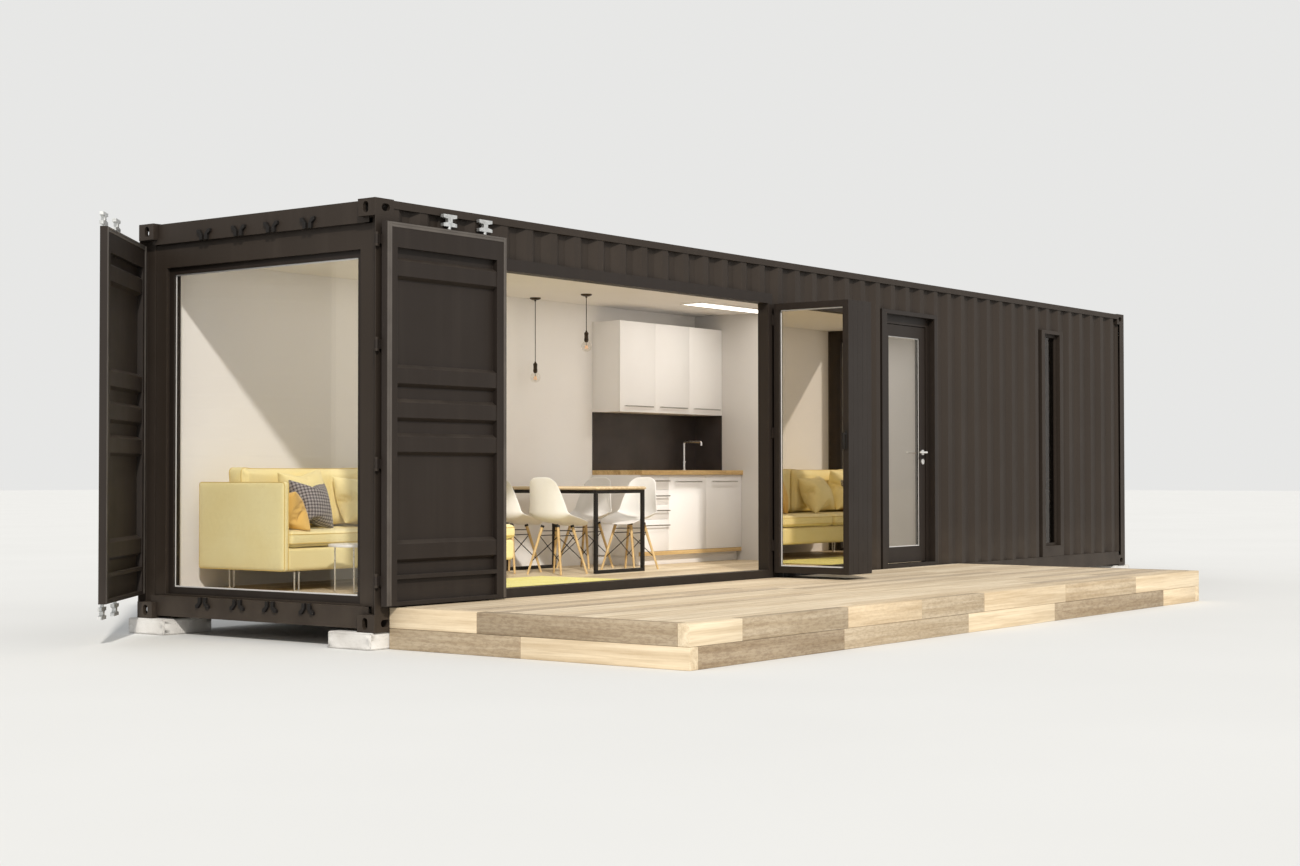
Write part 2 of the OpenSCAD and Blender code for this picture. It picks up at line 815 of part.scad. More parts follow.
module slit_glass() {
    y = slit_bar_y + (slit_bar_dep - glass_t) / 2;
    color([0.5, 0.5, 0.45, 0.4]) from_corner()
        block([slit_x + slit_side + slit_bar, y, slit_z0 + slit_bar],
            [slit_x1 - slit_side - slit_bar, y + glass_t, opening_head_z - slit_head - slit_bar]);
}

module end_infill() {
    y = post_flange_t + seat_gap;
    side = window_side - post_flange_t;
    top = header_z - seat_gap;
    color([0.22, 0.20, 0.19]) from_corner() translate([infill_x1, 0, 0]) rotate([0, 0, 90])
        ring([y, 0, sill_z1], [box_wid - y, infill_t, top],
            [side, side, window_z0 - sill_z1, top - window_z1]);
}

module end_window_frame() {
    color([0.20, 0.18, 0.17]) from_corner()
        translate([window_frame_x + window_frame_dep, 0, 0]) rotate([0, 0, 90])
            ring([window_side + seat_gap, 0, window_z0],
                [box_wid - window_side - seat_gap, window_frame_dep, window_z1],
                [window_bar, window_bar, window_bar, window_bar]);
}

module end_window_glass() {
    x = window_frame_x + (window_frame_dep - glass_t) / 2;
    color([0.5, 0.5, 0.45, 0.4]) from_corner()
        block([x, window_side + seat_gap + window_bar, window_z0 + window_bar],
            [x + glass_t, box_wid - window_side - seat_gap - window_bar, window_z1 - window_bar]);
}

// Where the leaves hang: the right one folded flat on the wall, the left one half open
module right_hung() {
    translate([0, -hinge_out, 0]) rotate([0, 0, -90]) translate([0, hinge_out, 0]) children();
}

module left_hung() {
    translate([0, box_wid + hinge_out, 0]) rotate([0, 0, -left_open])
        translate([0, -box_wid - hinge_out, 0]) translate([0, box_wid, 0]) mirror([0, 1, 0]) children();
}

module leaf_panel() {
    pts = [for (m = rib_mids) each [[m - rib_hgt / 2, 0], [m - rib_hgt / 2 + rib_slope, rib_depth],
        [m + rib_hgt / 2 - rib_slope, rib_depth], [m + rib_hgt / 2, 0]]];
    ends = concat([[leaf_z0 + leaf_bottom_rail, 0]], pts, [[leaf_z1 - leaf_top_rail, 0]]);
    n = len(ends) - 1;
    translate([0, leaf_reach - leaf_stile, 0]) rotate([90, 0, 0]) linear_extrude(leaf_wid - 2 * leaf_stile)
        polygon(concat([for (p = ends) [panel_x + p[1], p[0]]],
            [for (i = [n : -1 : 0]) [panel_x + panel_t + ends[i][1], ends[i][0]]]));
}

module hinge_blade() {
    difference() {
        union() {
            cylinder(r = lug_r, h = blade_hgt);
            translate([-blade_t, 0, 0]) cube([blade_t, blade_wid, blade_hgt]);
            translate([-blade_t, hinge_out + leaf_edge, 0])
                cube([blade_t + leaf_x, blade_wid - hinge_out - leaf_edge, blade_hgt]);
        }
        translate([0, 0, -1]) cylinder(r = pin_r + pin_play, h = blade_hgt + 2);
    }
}

// Frame of hollow bars: the bottom rail is a channel that opens towards the room
module cargo_leaf() {
    difference() {
        translate([leaf_x + leaf_t, 0, 0]) rotate([0, 0, 90])
            ring([leaf_edge, 0, leaf_z0], [leaf_reach, leaf_t, leaf_z1],
                [leaf_stile, leaf_stile, leaf_bottom_rail, leaf_top_rail]);
        block([leaf_x + leaf_t - rail_channel, leaf_edge + leaf_stile, leaf_z0 + rail_lip],
            [leaf_x + leaf_t + 1, leaf_reach - leaf_stile, leaf_z0 + leaf_bottom_rail - rail_lip]);
    }
    leaf_panel();
    for (z = hinge_drop) translate([0, -hinge_out, leaf_z0 + z - blade_hgt / 2]) hinge_blade();
}

// The claw on a rod's end: it turns with the rod and grips the keeper
module cam(z0) {
    w = cam_wid / 2;
    waist = cam_waist[0] / 2;
    z = [cam_bar, (cam_hgt - cam_waist[1]) / 2];
    side = [[w, 0], [w, z[0]], [waist, z[1]], [waist, cam_hgt - z[1]], [w, cam_hgt - z[0]], [w, cam_hgt]];
    translate([rod_x - rod_r, 0, z0]) rotate([90, 0, 90]) linear_extrude(leaf_x - rod_x + rod_r)
        polygon(concat(side, [for (k = [len(side) - 1 : -1 : 0]) [-side[k][0], side[k][1]]]));
}

// Bearing of a rod: a plate on the leaf with a block that wraps the rod
module rod_guide() {
    block([leaf_x - guide_t, -guide_wid / 2, -guide_hgt / 2], [leaf_x, guide_wid / 2, guide_hgt / 2]);
    block([rod_x - rod_r, -guide_wid / 4, -guide_hgt / 3], [leaf_x, guide_wid / 4, guide_hgt / 3]);
}

module rod_handle() {
    block([rod_x - rod_r, -handle_len, 0], [rod_x - rod_r + handle_t, 0, handle_hgt]);
    translate([rod_x, 0, (handle_hgt - handle_hub) / 2]) cylinder(r = rod_r, h = handle_hub);
    block([leaf_x - catch_size[0], -handle_len + catch_size[1], (handle_hgt - catch_size[2]) / 2],
        [leaf_x, -handle_len + 2 * catch_size[1], (handle_hgt + catch_size[2]) / 2]);
    block([rod_x - rod_r, -handle_len + catch_size[1], handle_hgt],
        [leaf_x, -handle_len + 2 * catch_size[1], (handle_hgt + catch_size[2]) / 2]);
}

module lock_rods(bottom_cams) {
    top = leaf_z1 + cam_reach;
    bottom = bottom_cams ? leaf_z0 - cam_reach : leaf_z0 + rod_lift;
    for (y = rod_at) translate([0, y, 0]) {
        translate([rod_x, 0, bottom]) cylinder(r = rod_r, h = top - bottom);
        for (z = guide_z) translate([0, 0, z]) rod_guide();
        cam(top - cam_hgt);
        if (bottom_cams) cam(bottom);
        translate([0, 0, leaf_z0 + handle_z]) rod_handle();
    }
}

module right_cargo_leaf() {
    color([0.22, 0.20, 0.19]) from_corner() right_hung() cargo_leaf();
}

module left_cargo_leaf() {
    color([0.22, 0.20, 0.19]) from_corner() left_hung() cargo_leaf();
}

module right_lock_rods() {
    color([0.85, 0.85, 0.84]) from_corner() right_hung() lock_rods(false);
}

module left_lock_rods() {
    color([0.85, 0.85, 0.84]) from_corner() left_hung() lock_rods(true);
}

module one_hinge_lug() {
    translate([0, -hinge_out, 0]) cylinder(r = lug_r, h = lug_hgt);
    block([-lug_arm / 2, -hinge_out, 0], [post_x + lug_foot, 0, lug_hgt]);
}

module hinge_lugs() {
    over = blade_hgt / 2 + lug_gap;
    color([0.24, 0.22, 0.21]) from_corner() both_sides()
        for (z = hinge_drop) translate([0, 0, leaf_z0 + z]) {
            translate([0, 0, over]) one_hinge_lug();
            translate([0, 0, -over - lug_hgt]) one_hinge_lug();
            translate([0, -hinge_out, 0]) cylinder(r = pin_r, h = 2 * over + 2 * lug_hgt, center = true);
        }
}

// Keepers on the header and the sill: each has a slot that a rod's claw grips
module door_keepers() {
    foot = keeper_foot;
    tip = keeper_tip;
    h = keeper_hgt;
    prong = [[foot[0], 0], [foot[1], 0], [foot[1], h / 2], [tip[1], h - keeper_tip_hgt], [tip[1], h],
        [tip[0], h], [foot[0], h / 2]];
    x0 = leaf_x + keeper_gap;
    ends = [[leaf_z1 + leaf_clear, 0], [leaf_z0 - leaf_clear, 1]];
    color([0.22, 0.20, 0.19]) from_corner() both_sides() for (y = rod_at, side = [0, 1], end = ends)
        translate([x0, y, end[0]]) mirror([0, side, 0]) mirror([0, 0, end[1]])
            rotate([90, 0, 90]) linear_extrude(end_face_x - x0) polygon(prong);
}

module foundation_blocks() {
    rows = [block_in, box_wid + block_out_back - block_wid];
    first = -block_out;
    step = (box_len + block_out_far - block_len - first) / 3;
    color([0.86, 0.84, 0.80]) from_corner() for (i = [0 : 3], y = rows) translate([first + i * step, y, 0])
        block([0, 0, -ground_gap], [block_len, block_wid, i % 3 == 0 ? 0 : rail_z0]);
}

module deck_top() {
    x0 = deck_x + edging_t;
    x1 = deck_x1 - edging_t;
    y0 = -deck_dep + edging_t;
    y1 = -wall_gap;
    span = (x1 - x0 - joist_t) / (joist_count - 1);
    color([0.80, 0.70, 0.55]) from_corner() {
        block([x0, y0, deck_z - board_t], [x1, y1, deck_z]);
        for (k = [0 : joist_count - 1]) block([x0 + k * span, y0, deck_z - board_t - joist_hgt],
            [x0 + k * span + joist_t, y1, deck_z - board_t]);
    }
}

// Two courses of timber, lapped at the corners as logs are
module deck_edging() {
    e = edging_t;
    color([0.78, 0.68, 0.52]) from_corner() for (c = [0, 1]) translate([0, 0, -ground_gap + c * timber_hgt]) {
        front_in = c == 1 ? 0 : e;
        block([deck_x + front_in, -deck_dep, 0], [deck_x1 - front_in, -deck_dep + e, timber_hgt]);
        for (x = [deck_x, deck_x1 - e])
            block([x, -deck_dep + (c == 1 ? e : 0), 0], [x + e, -wall_gap, timber_hgt]);
    }
}

module bar_handle(len) {
    for (s = [0, len]) translate([s, 0, 0]) rotate([90, 0, 0]) cylinder(r = bar_r, h = bar_out);
    translate([0, -bar_out, 0]) rotate([0, 90, 0]) cylinder(r = bar_r, h = len);
}

module kitchen_base() {
    y = worktop_y + 20;
    z0 = room_z + plinth_hgt;
    z1 = room_z + worktop_hgt - worktop_t;
    door_wid = (kitchen_len - drawer_unit) / 2;
    drawer_hgt = (z1 - z0 - oak_strip) / drawer_count;
    color([0.93, 0.92, 0.90]) from_corner() {
        block([kitchen_x + 20, y + plinth_back, room_z], [kitchen_x1, back_y, z0]);
        block([kitchen_x, y + front_t, z0], [kitchen_x1, back_y, z1]);
        for (k = [0 : drawer_count - 1]) translate([kitchen_x, y, z0 + oak_strip + k * drawer_hgt])
            cube([drawer_unit - front_gap, front_t, drawer_hgt - front_gap]);
        for (k = [0, 1])
            block([kitchen_x + drawer_unit + k * door_wid, y, z0 + oak_strip],
                [kitchen_x + drawer_unit + (k + 1) * door_wid - front_gap, y + front_t, z1 - front_gap]);
        for (k = [0 : drawer_count - 1])
            translate([kitchen_x + drawer_unit - bar_len - handle_inset[0], y,
                z0 + oak_strip + (k + 1) * drawer_hgt - handle_inset[1]]) bar_handle(bar_len);
        for (k = [0, 1])
            translate([kitchen_x + drawer_unit + k * door_wid + handle_inset[2], y, z1 - handle_inset[2]])
                bar_handle(door_wid - 2 * handle_inset[3]);
    }
}

module kitchen_worktop() {
    color([0.72, 0.55, 0.34]) from_corner()
        block([kitchen_x, worktop_y, room_z + worktop_hgt - worktop_t],
            [kitchen_x1, back_y, room_z + worktop_hgt]);
}

module kitchen_wall_units() {
    count = 3;
    wid = kitchen_len / count;
    y = back_y - wall_unit_dep;
    z = room_z + wall_unit_z;
    color([0.95, 0.94, 0.92]) from_corner() {
        block([kitchen_x, y + front_t, z], [kitchen_x1, back_y, z + wall_unit_hgt]);
        for (k = [0 : count - 1]) {
            translate([kitchen_x + k * wid, y, z]) cube([wid - front_gap, front_t, wall_unit_hgt]);
            translate([kitchen_x + k * wid + handle_inset[3], y, z + handle_inset[1]])
                bar_handle(wid - 2 * handle_inset[3]);
        }
    }
}

module kitchen_splashback() {
    z0 = room_z + worktop_hgt;
    z1 = room_z + wall_unit_z;
    color([0.18, 0.16, 0.15]) from_corner() {
        block([kitchen_x, back_y - splash_t, z0], [kitchen_x1, back_y, z1]);
        block([kitchen_x1 - splash_t, back_y - wall_unit_dep, z0], [kitchen_x1, back_y, z1]);
    }
}

module kitchen_tap() {
    z0 = room_z + worktop_hgt;
    color([0.85, 0.85, 0.86]) from_corner() translate([tap_at[0], tap_at[1], z0]) {
        cylinder(r = 2 * tap_r, h = 12);
        cylinder(r = tap_r, h = tap_hgt);
        translate([0, tap_r, tap_hgt]) rotate([90, 0, 0]) cylinder(r = tap_r, h = tap_reach + tap_r);
        translate([0, -tap_reach + tap_r, tap_hgt - 35]) cylinder(r = tap_r, h = 35);
    }
}

module pendant_lamps() {
    color([0.30, 0.27, 0.25]) from_corner() for (k = [0, 1]) translate([lamp_x, lamp_y[k], 0]) {
        z = ceiling_z - lamp_drop[k];
        translate([0, 0, ceiling_z - canopy_hgt]) cylinder(r = canopy_r, h = canopy_hgt);
        translate([0, 0, z]) cylinder(r = flex_r, h = ceiling_z - z - 1);
        translate([0, 0, z]) cylinder(r = socket_r, h = socket_hgt);
        translate([0, 0, z - bulb_r + 6]) sphere(r = bulb_r);
    }
}

module ceiling_light() {
    color([1, 1, 1]) from_corner()
        translate([light_at[0], light_at[1], ceiling_z - light_size[2]]) cube(light_size);
}

module table_loop() {
    b = table_bar;
    ring([0, 0, 0], [table_wid - 2 * table_edge[0], b, table_hgt - table_top_t], [b, b, b, b]);
}

module dining_table() {
    color([0.12, 0.11, 0.10]) from_corner() translate([table_x, table_y, room_z]) {
        translate([table_wid / 2, table_len / 2, table_hgt - table_top_t])
            rounded([table_wid, table_len], table_corner, table_top_t);
        for (y = [table_edge[1], table_len - table_edge[1] - table_bar])
            translate([table_edge[0], y, 0]) table_loop();
    }
}

// Side view of the moulded shell, at a distance inwards from its sitting face
function shell_side(inwards) =
    let (bend = [chair_bend_r + chair_shell_t, chair_bend_r], up = [-sin(chair_lean), cos(chair_lean)],
        back = arc(bend, chair_bend_r + inwards, 270, 180 + chair_lean, 8))
    concat(arc([chair_dep - chair_lip_r, -chair_lip_r], chair_lip_r - inwards, 15, 90, 6), back,
        [back[len(back) - 1] + chair_back_len * up]);

module chair_shell() {
    inner = shell_side(0);
    outer = shell_side(chair_shell_t);
    tall = chair_bend_r * (1 - sin(chair_lean)) + chair_back_len * cos(chair_lean);
    low = chair_lip_r;
    intersection() {
        rotate([90, 0, 0]) linear_extrude(chair_wid, center = true)
            polygon(concat(inner, [for (i = [len(outer) - 1 : -1 : 0]) outer[i]]));
        translate([0, 0, -low - 1]) rounded([2 * chair_dep, chair_wid], chair_corner_r, tall + low + 2);
        translate([-chair_dep / 2, 0, 0]) rotate([90, 0, 90])
            rounded([chair_wid, 2 * tall - chair_shell_t], chair_corner_r, 2 * chair_dep);
    }
}

// Where the middle of a leg passes at a height: the legs splay out from the shell to the floor
chair_leg_z = chair_seat_hgt - chair_shell_t / 2;
function leg_at(sx, sy, z) =
    let (spread = chair_leg_top + (1 - z / chair_leg_z) * (chair_leg_foot - chair_leg_top))
    [chair_leg_x + sx * spread[0], sy * spread[1], z];

// Four tapered legs braced crosswise with wire
module chair_legs() {
    r = chair_brace_r;
    z = chair_brace_z;
    intersection() {
        for (sx = [-1, 1], sy = [-1, 1])
            bar(leg_at(sx, sy, -chair_brace_r), leg_at(sx, sy, chair_leg_z), chair_leg_r[1], chair_leg_r[0]);
        block([-chair_dep, -chair_wid, 0], [2 * chair_dep, chair_wid, chair_leg_z]);
    }
    for (s = [-1, 1]) {
        bar(leg_at(s, -1, z[0]), leg_at(s, 1, z[1]), r, r);
        bar(leg_at(s, 1, z[0]), leg_at(s, -1, z[1]), r, r);
        bar(leg_at(-1, s, z[1]), leg_at(1, s, z[1]), r, r);
    }
}

module shell_chair() {
    translate([0, 0, chair_seat_hgt]) chair_shell();
    chair_legs();
}

module dining_chairs() {
    color([0.94, 0.93, 0.91]) from_corner() for (f = chair_shares) {
        y = table_y + f * table_len;
        x1 = table_x + table_wid - chair_tuck[1] + chair_dep;
        translate([table_x + chair_tuck[0] - chair_dep, y, room_z]) shell_chair();
        translate([x1, y, room_z]) mirror([1, 0, 0]) shell_chair();
    }
}

// A leg bent from one rod: two uprights joined at the floor
module hairpin_leg(wid, hgt, r) {
    for (s = [-1, 1]) translate([s * wid / 2, 0, r]) {
        sphere(r = r);
        cylinder(r = r, h = hgt - r);
    }
    translate([-wid / 2, 0, r]) rotate([0, 90, 0]) cylinder(r = r, h = wid);
}

// One arm at the left end; the right end is open
module sofa_frame() {
    x0 = sofa_x + sofa_arm_t;
    x1 = sofa_x + sofa_len;
    z0 = room_z + sofa_leg_hgt;
    color([0.90, 0.72, 0.30]) from_corner() {
        block([x0, sofa_y + sofa_corner, z0], [x1, sofa_y1, room_z + sofa_seat_hgt]);
        block([x0, sofa_y1 - sofa_back_t, z0], [x1, sofa_y1, room_z + sofa_back_hgt]);
        translate([sofa_x, (sofa_y + sofa_y1) / 2, (z0 + room_z + sofa_arm_hgt) / 2]) rotate([90, 0, 90])
            rounded([sofa_dep, sofa_arm_hgt - sofa_leg_hgt], sofa_corner, sofa_arm_t);
        for (x = [sofa_x + sofa_leg_in[0], x1 - sofa_leg_in[0]],
            y = [sofa_y + sofa_leg_in[1], sofa_y1 - sofa_leg_in[2]])
            translate([x, y, room_z]) hairpin_leg(sofa_leg_wid, sofa_leg_hgt, sofa_leg_r);
    }
}

module sofa_cushions() {
    g = soft_gap;
    x0 = sofa_x + sofa_arm_t;
    wid = (sofa_len - sofa_arm_t) / 2;
    z0 = room_z + sofa_seat_hgt + g;
    yb = sofa_y1 - sofa_back_t - g;
    color([0.93, 0.77, 0.36]) from_corner() for (k = [0, 1]) translate([x0 + (k + 0.5) * wid, 0, 0]) {
        translate([0, (sofa_y + yb) / 2, z0])
            rounded([wid - 2 * g, yb - sofa_y], cushion_corner, seat_cushion_t);
        translate([0, yb, z0 + seat_cushion_t + g + back_cushion_hgt / 2]) rotate([90, 0, 0])
            rounded([wid - 2 * g, back_cushion_hgt], cushion_corner, back_cushion_t);
    }
}

module leaning(side, t, lean) {
    translate([0, -t * cos(lean) - side * sin(lean), t * sin(lean)]) rotate([-lean, 0, 0])
        translate([side / 2, t, side / 2]) rotate([90, 0, 0]) rounded([side, side], cushion_corner, t);
}

module scatter_cushions() {
    arm_x = sofa_x + sofa_arm_t + soft_gap;
    y = sofa_y1 - sofa_back_t - back_cushion_t - 2 * soft_gap;
    z = room_z + sofa_seat_hgt + seat_cushion_t + 2 * soft_gap;
    color([0.80, 0.68, 0.40]) from_corner() {
        for (c = scatter_along) translate([arm_x + c[0], y - c[3], z]) leaning(c[1], scatter_t, c[2]);
        translate([arm_x, sofa_y + scatter_arm[3], z]) rotate([0, 0, 90])
            leaning(scatter_arm[0], scatter_arm[1], scatter_arm[2]);
    }
}

module side_table() {
    z = side_table_hgt - side_table_t;
    run = side_table_r - side_table_leg_in;
    color([0.92, 0.91, 0.89]) from_corner() translate([side_table_at[0], side_table_at[1], room_z]) {
        translate([0, 0, z]) cylinder(r = side_table_r, h = side_table_t, $fn = 64);
        for (a = [45 : 90 : 315]) rotate([0, 0, a]) translate([run, 0, 0]) rotate([0, 0, 90])
            hairpin_leg(side_table_leg_wid, z + side_table_t / 2, side_table_leg_r);
    }
}

module rug() {
    color([0.88, 0.82, 0.35]) from_corner()
        block([rug_x, rug_y, room_z + soft_gap], [rug_x + rug_len, rug_y + rug_wid, room_z + rug_t]);
}

base_frame();
corner_castings();
corner_posts();
top_side_rails();
door_header();
door_sill();
far_end_rails();
cabin_floor();
roof_sheet();
ceiling_lining();
back_wall_sheet();
far_end_wall_sheet();
front_wall_sheets();
front_fascia_sheets();
wall_linings();
partition_wall();
opening_frame();
folding_door_frames();
folding_door_glass();
door_surround();
entrance_leaf();
entrance_glass();
entrance_handles();
slit_surround();
slit_glass();
end_infill();
end_window_frame();
end_window_glass();
right_cargo_leaf();
right_lock_rods();
left_cargo_leaf();
left_lock_rods();
hinge_lugs();
door_keepers();
foundation_blocks();
deck_top();
deck_edging();
kitchen_base();
kitchen_worktop();
kitchen_wall_units();
kitchen_splashback();
kitchen_tap();
pendant_lamps();
ceiling_light();
dining_table();
dining_chairs();
sofa_frame();
sofa_cushions();
scatter_cushions();
side_table();
rug();
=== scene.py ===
import math
import random

import bpy
from mathutils import Matrix, Vector


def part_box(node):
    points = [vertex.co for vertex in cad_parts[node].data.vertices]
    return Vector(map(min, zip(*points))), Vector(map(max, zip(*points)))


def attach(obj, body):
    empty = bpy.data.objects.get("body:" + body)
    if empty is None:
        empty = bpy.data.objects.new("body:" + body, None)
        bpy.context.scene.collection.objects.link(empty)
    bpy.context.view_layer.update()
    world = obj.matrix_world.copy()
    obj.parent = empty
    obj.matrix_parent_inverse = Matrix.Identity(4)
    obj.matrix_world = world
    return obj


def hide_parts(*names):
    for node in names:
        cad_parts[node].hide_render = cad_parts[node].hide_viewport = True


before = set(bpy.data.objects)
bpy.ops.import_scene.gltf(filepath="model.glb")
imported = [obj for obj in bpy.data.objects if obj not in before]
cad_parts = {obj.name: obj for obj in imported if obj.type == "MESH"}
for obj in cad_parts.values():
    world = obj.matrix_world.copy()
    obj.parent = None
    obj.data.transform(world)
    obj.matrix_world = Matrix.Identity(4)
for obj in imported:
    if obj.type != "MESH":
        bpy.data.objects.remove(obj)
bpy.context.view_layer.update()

# The view.
# The cabin is seen from a standing eye in front of its door end, a little above the deck.
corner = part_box("corner_castings")[0]


def at(x, y, z):
    """A point given in millimetres from the lower outer corner of the box at its door end."""
    return corner + Vector((x, y, z)) / 1000


bpy.ops.object.camera_add(
    location=at(-9324, -9286, 1049),
    rotation=(math.radians(91.21), math.radians(0.052), math.radians(-53.09)),
)
eye = bpy.context.object
eye.data.sensor_width = 36
eye.data.lens = 54.446
eye.data.clip_end = 300
bpy.context.scene.camera = eye
bpy.context.scene.view_settings.view_transform = "Standard"

# The studio.
# A plain pale floor under a white sky, a low sun that lights the front and shines in through the
# end window, and soft warm lamps under the ceilings, as the lit rooms have.
bpy.ops.object.select_all(action="DESELECT")
bpy.ops.mesh.primitive_plane_add(size=240, location=(0, 0, 0))
studio_floor = bpy.context.object
studio_floor.name = "studio_floor"


def add(tree, kind, sockets=None, **settings):
    """Adds one shader node. A socket takes a number, a colour or another node's output."""
    made = tree.nodes.new("ShaderNode" + kind)
    for name, value in settings.items():
        setattr(made, name, value)
    for name, value in (sockets or {}).items():
        if isinstance(value, bpy.types.NodeSocket):
            tree.links.new(value, made.inputs[name])
        else:
            made.inputs[name].default_value = value
    return made


def tint(red, green, blue):
    """A colour as it looks on a screen, 0 to 255 each, as the shaders take it."""
    return tuple(
        (c / 255 / 12.92) if c <= 10 else ((c / 255 + 0.055) / 1.055) ** 2.4 for c in (red, green, blue)
    ) + (1,)


def start_finish(name, rough=0.5, metal=0.0, shine=0.5, others=None):
    """A new material with one Principled shader. Returns the material, its tree and that shader."""
    finish = bpy.data.materials.new(name)
    finish.use_nodes = True
    shader = finish.node_tree.nodes["Principled BSDF"]
    sockets = {"Roughness": rough, "Metallic": metal, "Specular IOR Level": shine, **(others or {})}
    for socket, value in sockets.items():
        shader.inputs[socket].default_value = value
    return finish, finish.node_tree, shader


def where(tree):
    """The place on the object, in metres, which the patterns are laid out on."""
    return add(tree, "TexCoord").outputs["Object"]


def noise(tree, place, scale, detail=3.0, stretch=None, roughness=0.5):
    """The grey value of a noise pattern, stretched along the axes if asked."""
    if stretch:
        place = add(tree, "Mapping", {"Vector": place, "Scale": stretch}).outputs["Vector"]
    return add(tree, "TexNoise", {"Vector": place, "Scale": scale, "Detail": detail,
                                  "Roughness": roughness}).outputs["Fac"]


def ramp(tree, value, *stops):
    """Runs a grey value through stops, each (position, colour or grey value)."""
    made = add(tree, "ValToRGB", {"Fac": value})
    marks = made.color_ramp.elements
    while len(marks) < len(stops):
        marks.new(1.0)
    for mark, (position, colour) in zip(marks, stops):
        mark.position = position
        mark.color = colour if isinstance(colour, tuple) else (colour, colour, colour, 1)
    return made.outputs["Color"]


floor_finish, tree, shader = start_finish("studio_floor_finish", rough=0.95, shine=0.1)
tone = ramp(tree, noise(tree, where(tree), 0.4, 2.0), (0.0, tint(224, 224, 222)), (1.0, tint(230, 230, 228)))
tree.links.new(tone, shader.inputs["Base Color"])
studio_floor.data.materials.append(floor_finish)

sky = bpy.data.worlds.new("studio_sky")
bpy.context.scene.world = sky
sky.use_nodes = True
tree = sky.node_tree
tree.nodes.clear()
ray = add(tree, "LightPath")
seen = add(tree, "Math", {0: ray.outputs["Is Camera Ray"], 1: ray.outputs["Is Glossy Ray"]},
           operation="MAXIMUM")
seen = add(tree, "Math", {0: seen.outputs[0], 1: ray.outputs["Is Transmission Ray"]}, operation="MAXIMUM")
light = add(tree, "Background", {"Color": (0.97, 0.985, 1.0, 1), "Strength": 0.68})
backdrop = add(tree, "Background", {"Color": (0.80, 0.80, 0.79, 1), "Strength": 1.0})
both = add(tree, "MixShader", {0: seen.outputs[0], 1: light.outputs[0], 2: backdrop.outputs[0]})
add(tree, "OutputWorld", {"Surface": both.outputs[0]})

bpy.ops.object.light_add(type="SUN", rotation=(math.radians(55.9), 0, math.radians(-41.6)))
sun = bpy.context.object
sun.data.energy = 2.7
sun.data.angle = math.radians(2.5)
sun.data.color = (1.0, 0.955, 0.89)
ceiling_level = 2650


def ceiling_lamp(x, y, length, width, power):
    """A soft warm lamp just under the ceiling, facing down."""
    bpy.ops.object.light_add(type="AREA", location=at(x, y, ceiling_level - 10))
    lamp = bpy.context.object
    lamp.data.shape = "RECTANGLE"
    lamp.data.size = length / 1000
    lamp.data.size_y = width / 1000
    lamp.data.energy = power
    lamp.data.color = (1.0, 0.98, 0.95)
    lamp.visible_camera = False
    lamp.visible_glossy = False
    lamp.visible_transmission = False


ceiling_lamp(5700, 640, 1200, 320, 16)
ceiling_lamp(3450, 1220, 6000, 1500, 13.5)
ceiling_lamp(9500, 1220, 4000, 1500, 18)

# The steel box.
# Corner castings, posts, rails, corrugated walls and roof and the fascia over the openings,
# welded up from weathering steel and sprayed with one dark brown-grey coat inside and out.


def mix(tree, amount, first, second, blend="MIX"):
    """Lays the second colour over the first by the amount."""
    return add(tree, "Mix", {0: amount, 6: first, 7: second}, data_type="RGBA", blend_type=blend).outputs[2]


def calc(tree, operation, *values):
    """One Math node."""
    return add(tree, "Math", dict(enumerate(values)), operation=operation).outputs[0]


def coat_over(tree, shader, colour, height, strength=0.3, distance=0.002, roughness=None):
    """Joins a colour and a bump height to the shader."""
    tree.links.new(colour, shader.inputs["Base Color"])
    raised = add(tree, "Bump", {"Height": height, "Strength": strength, "Distance": distance})
    tree.links.new(raised.outputs[0], shader.inputs["Normal"])
    if roughness:
        tree.links.new(roughness, shader.inputs["Roughness"])
    return raised


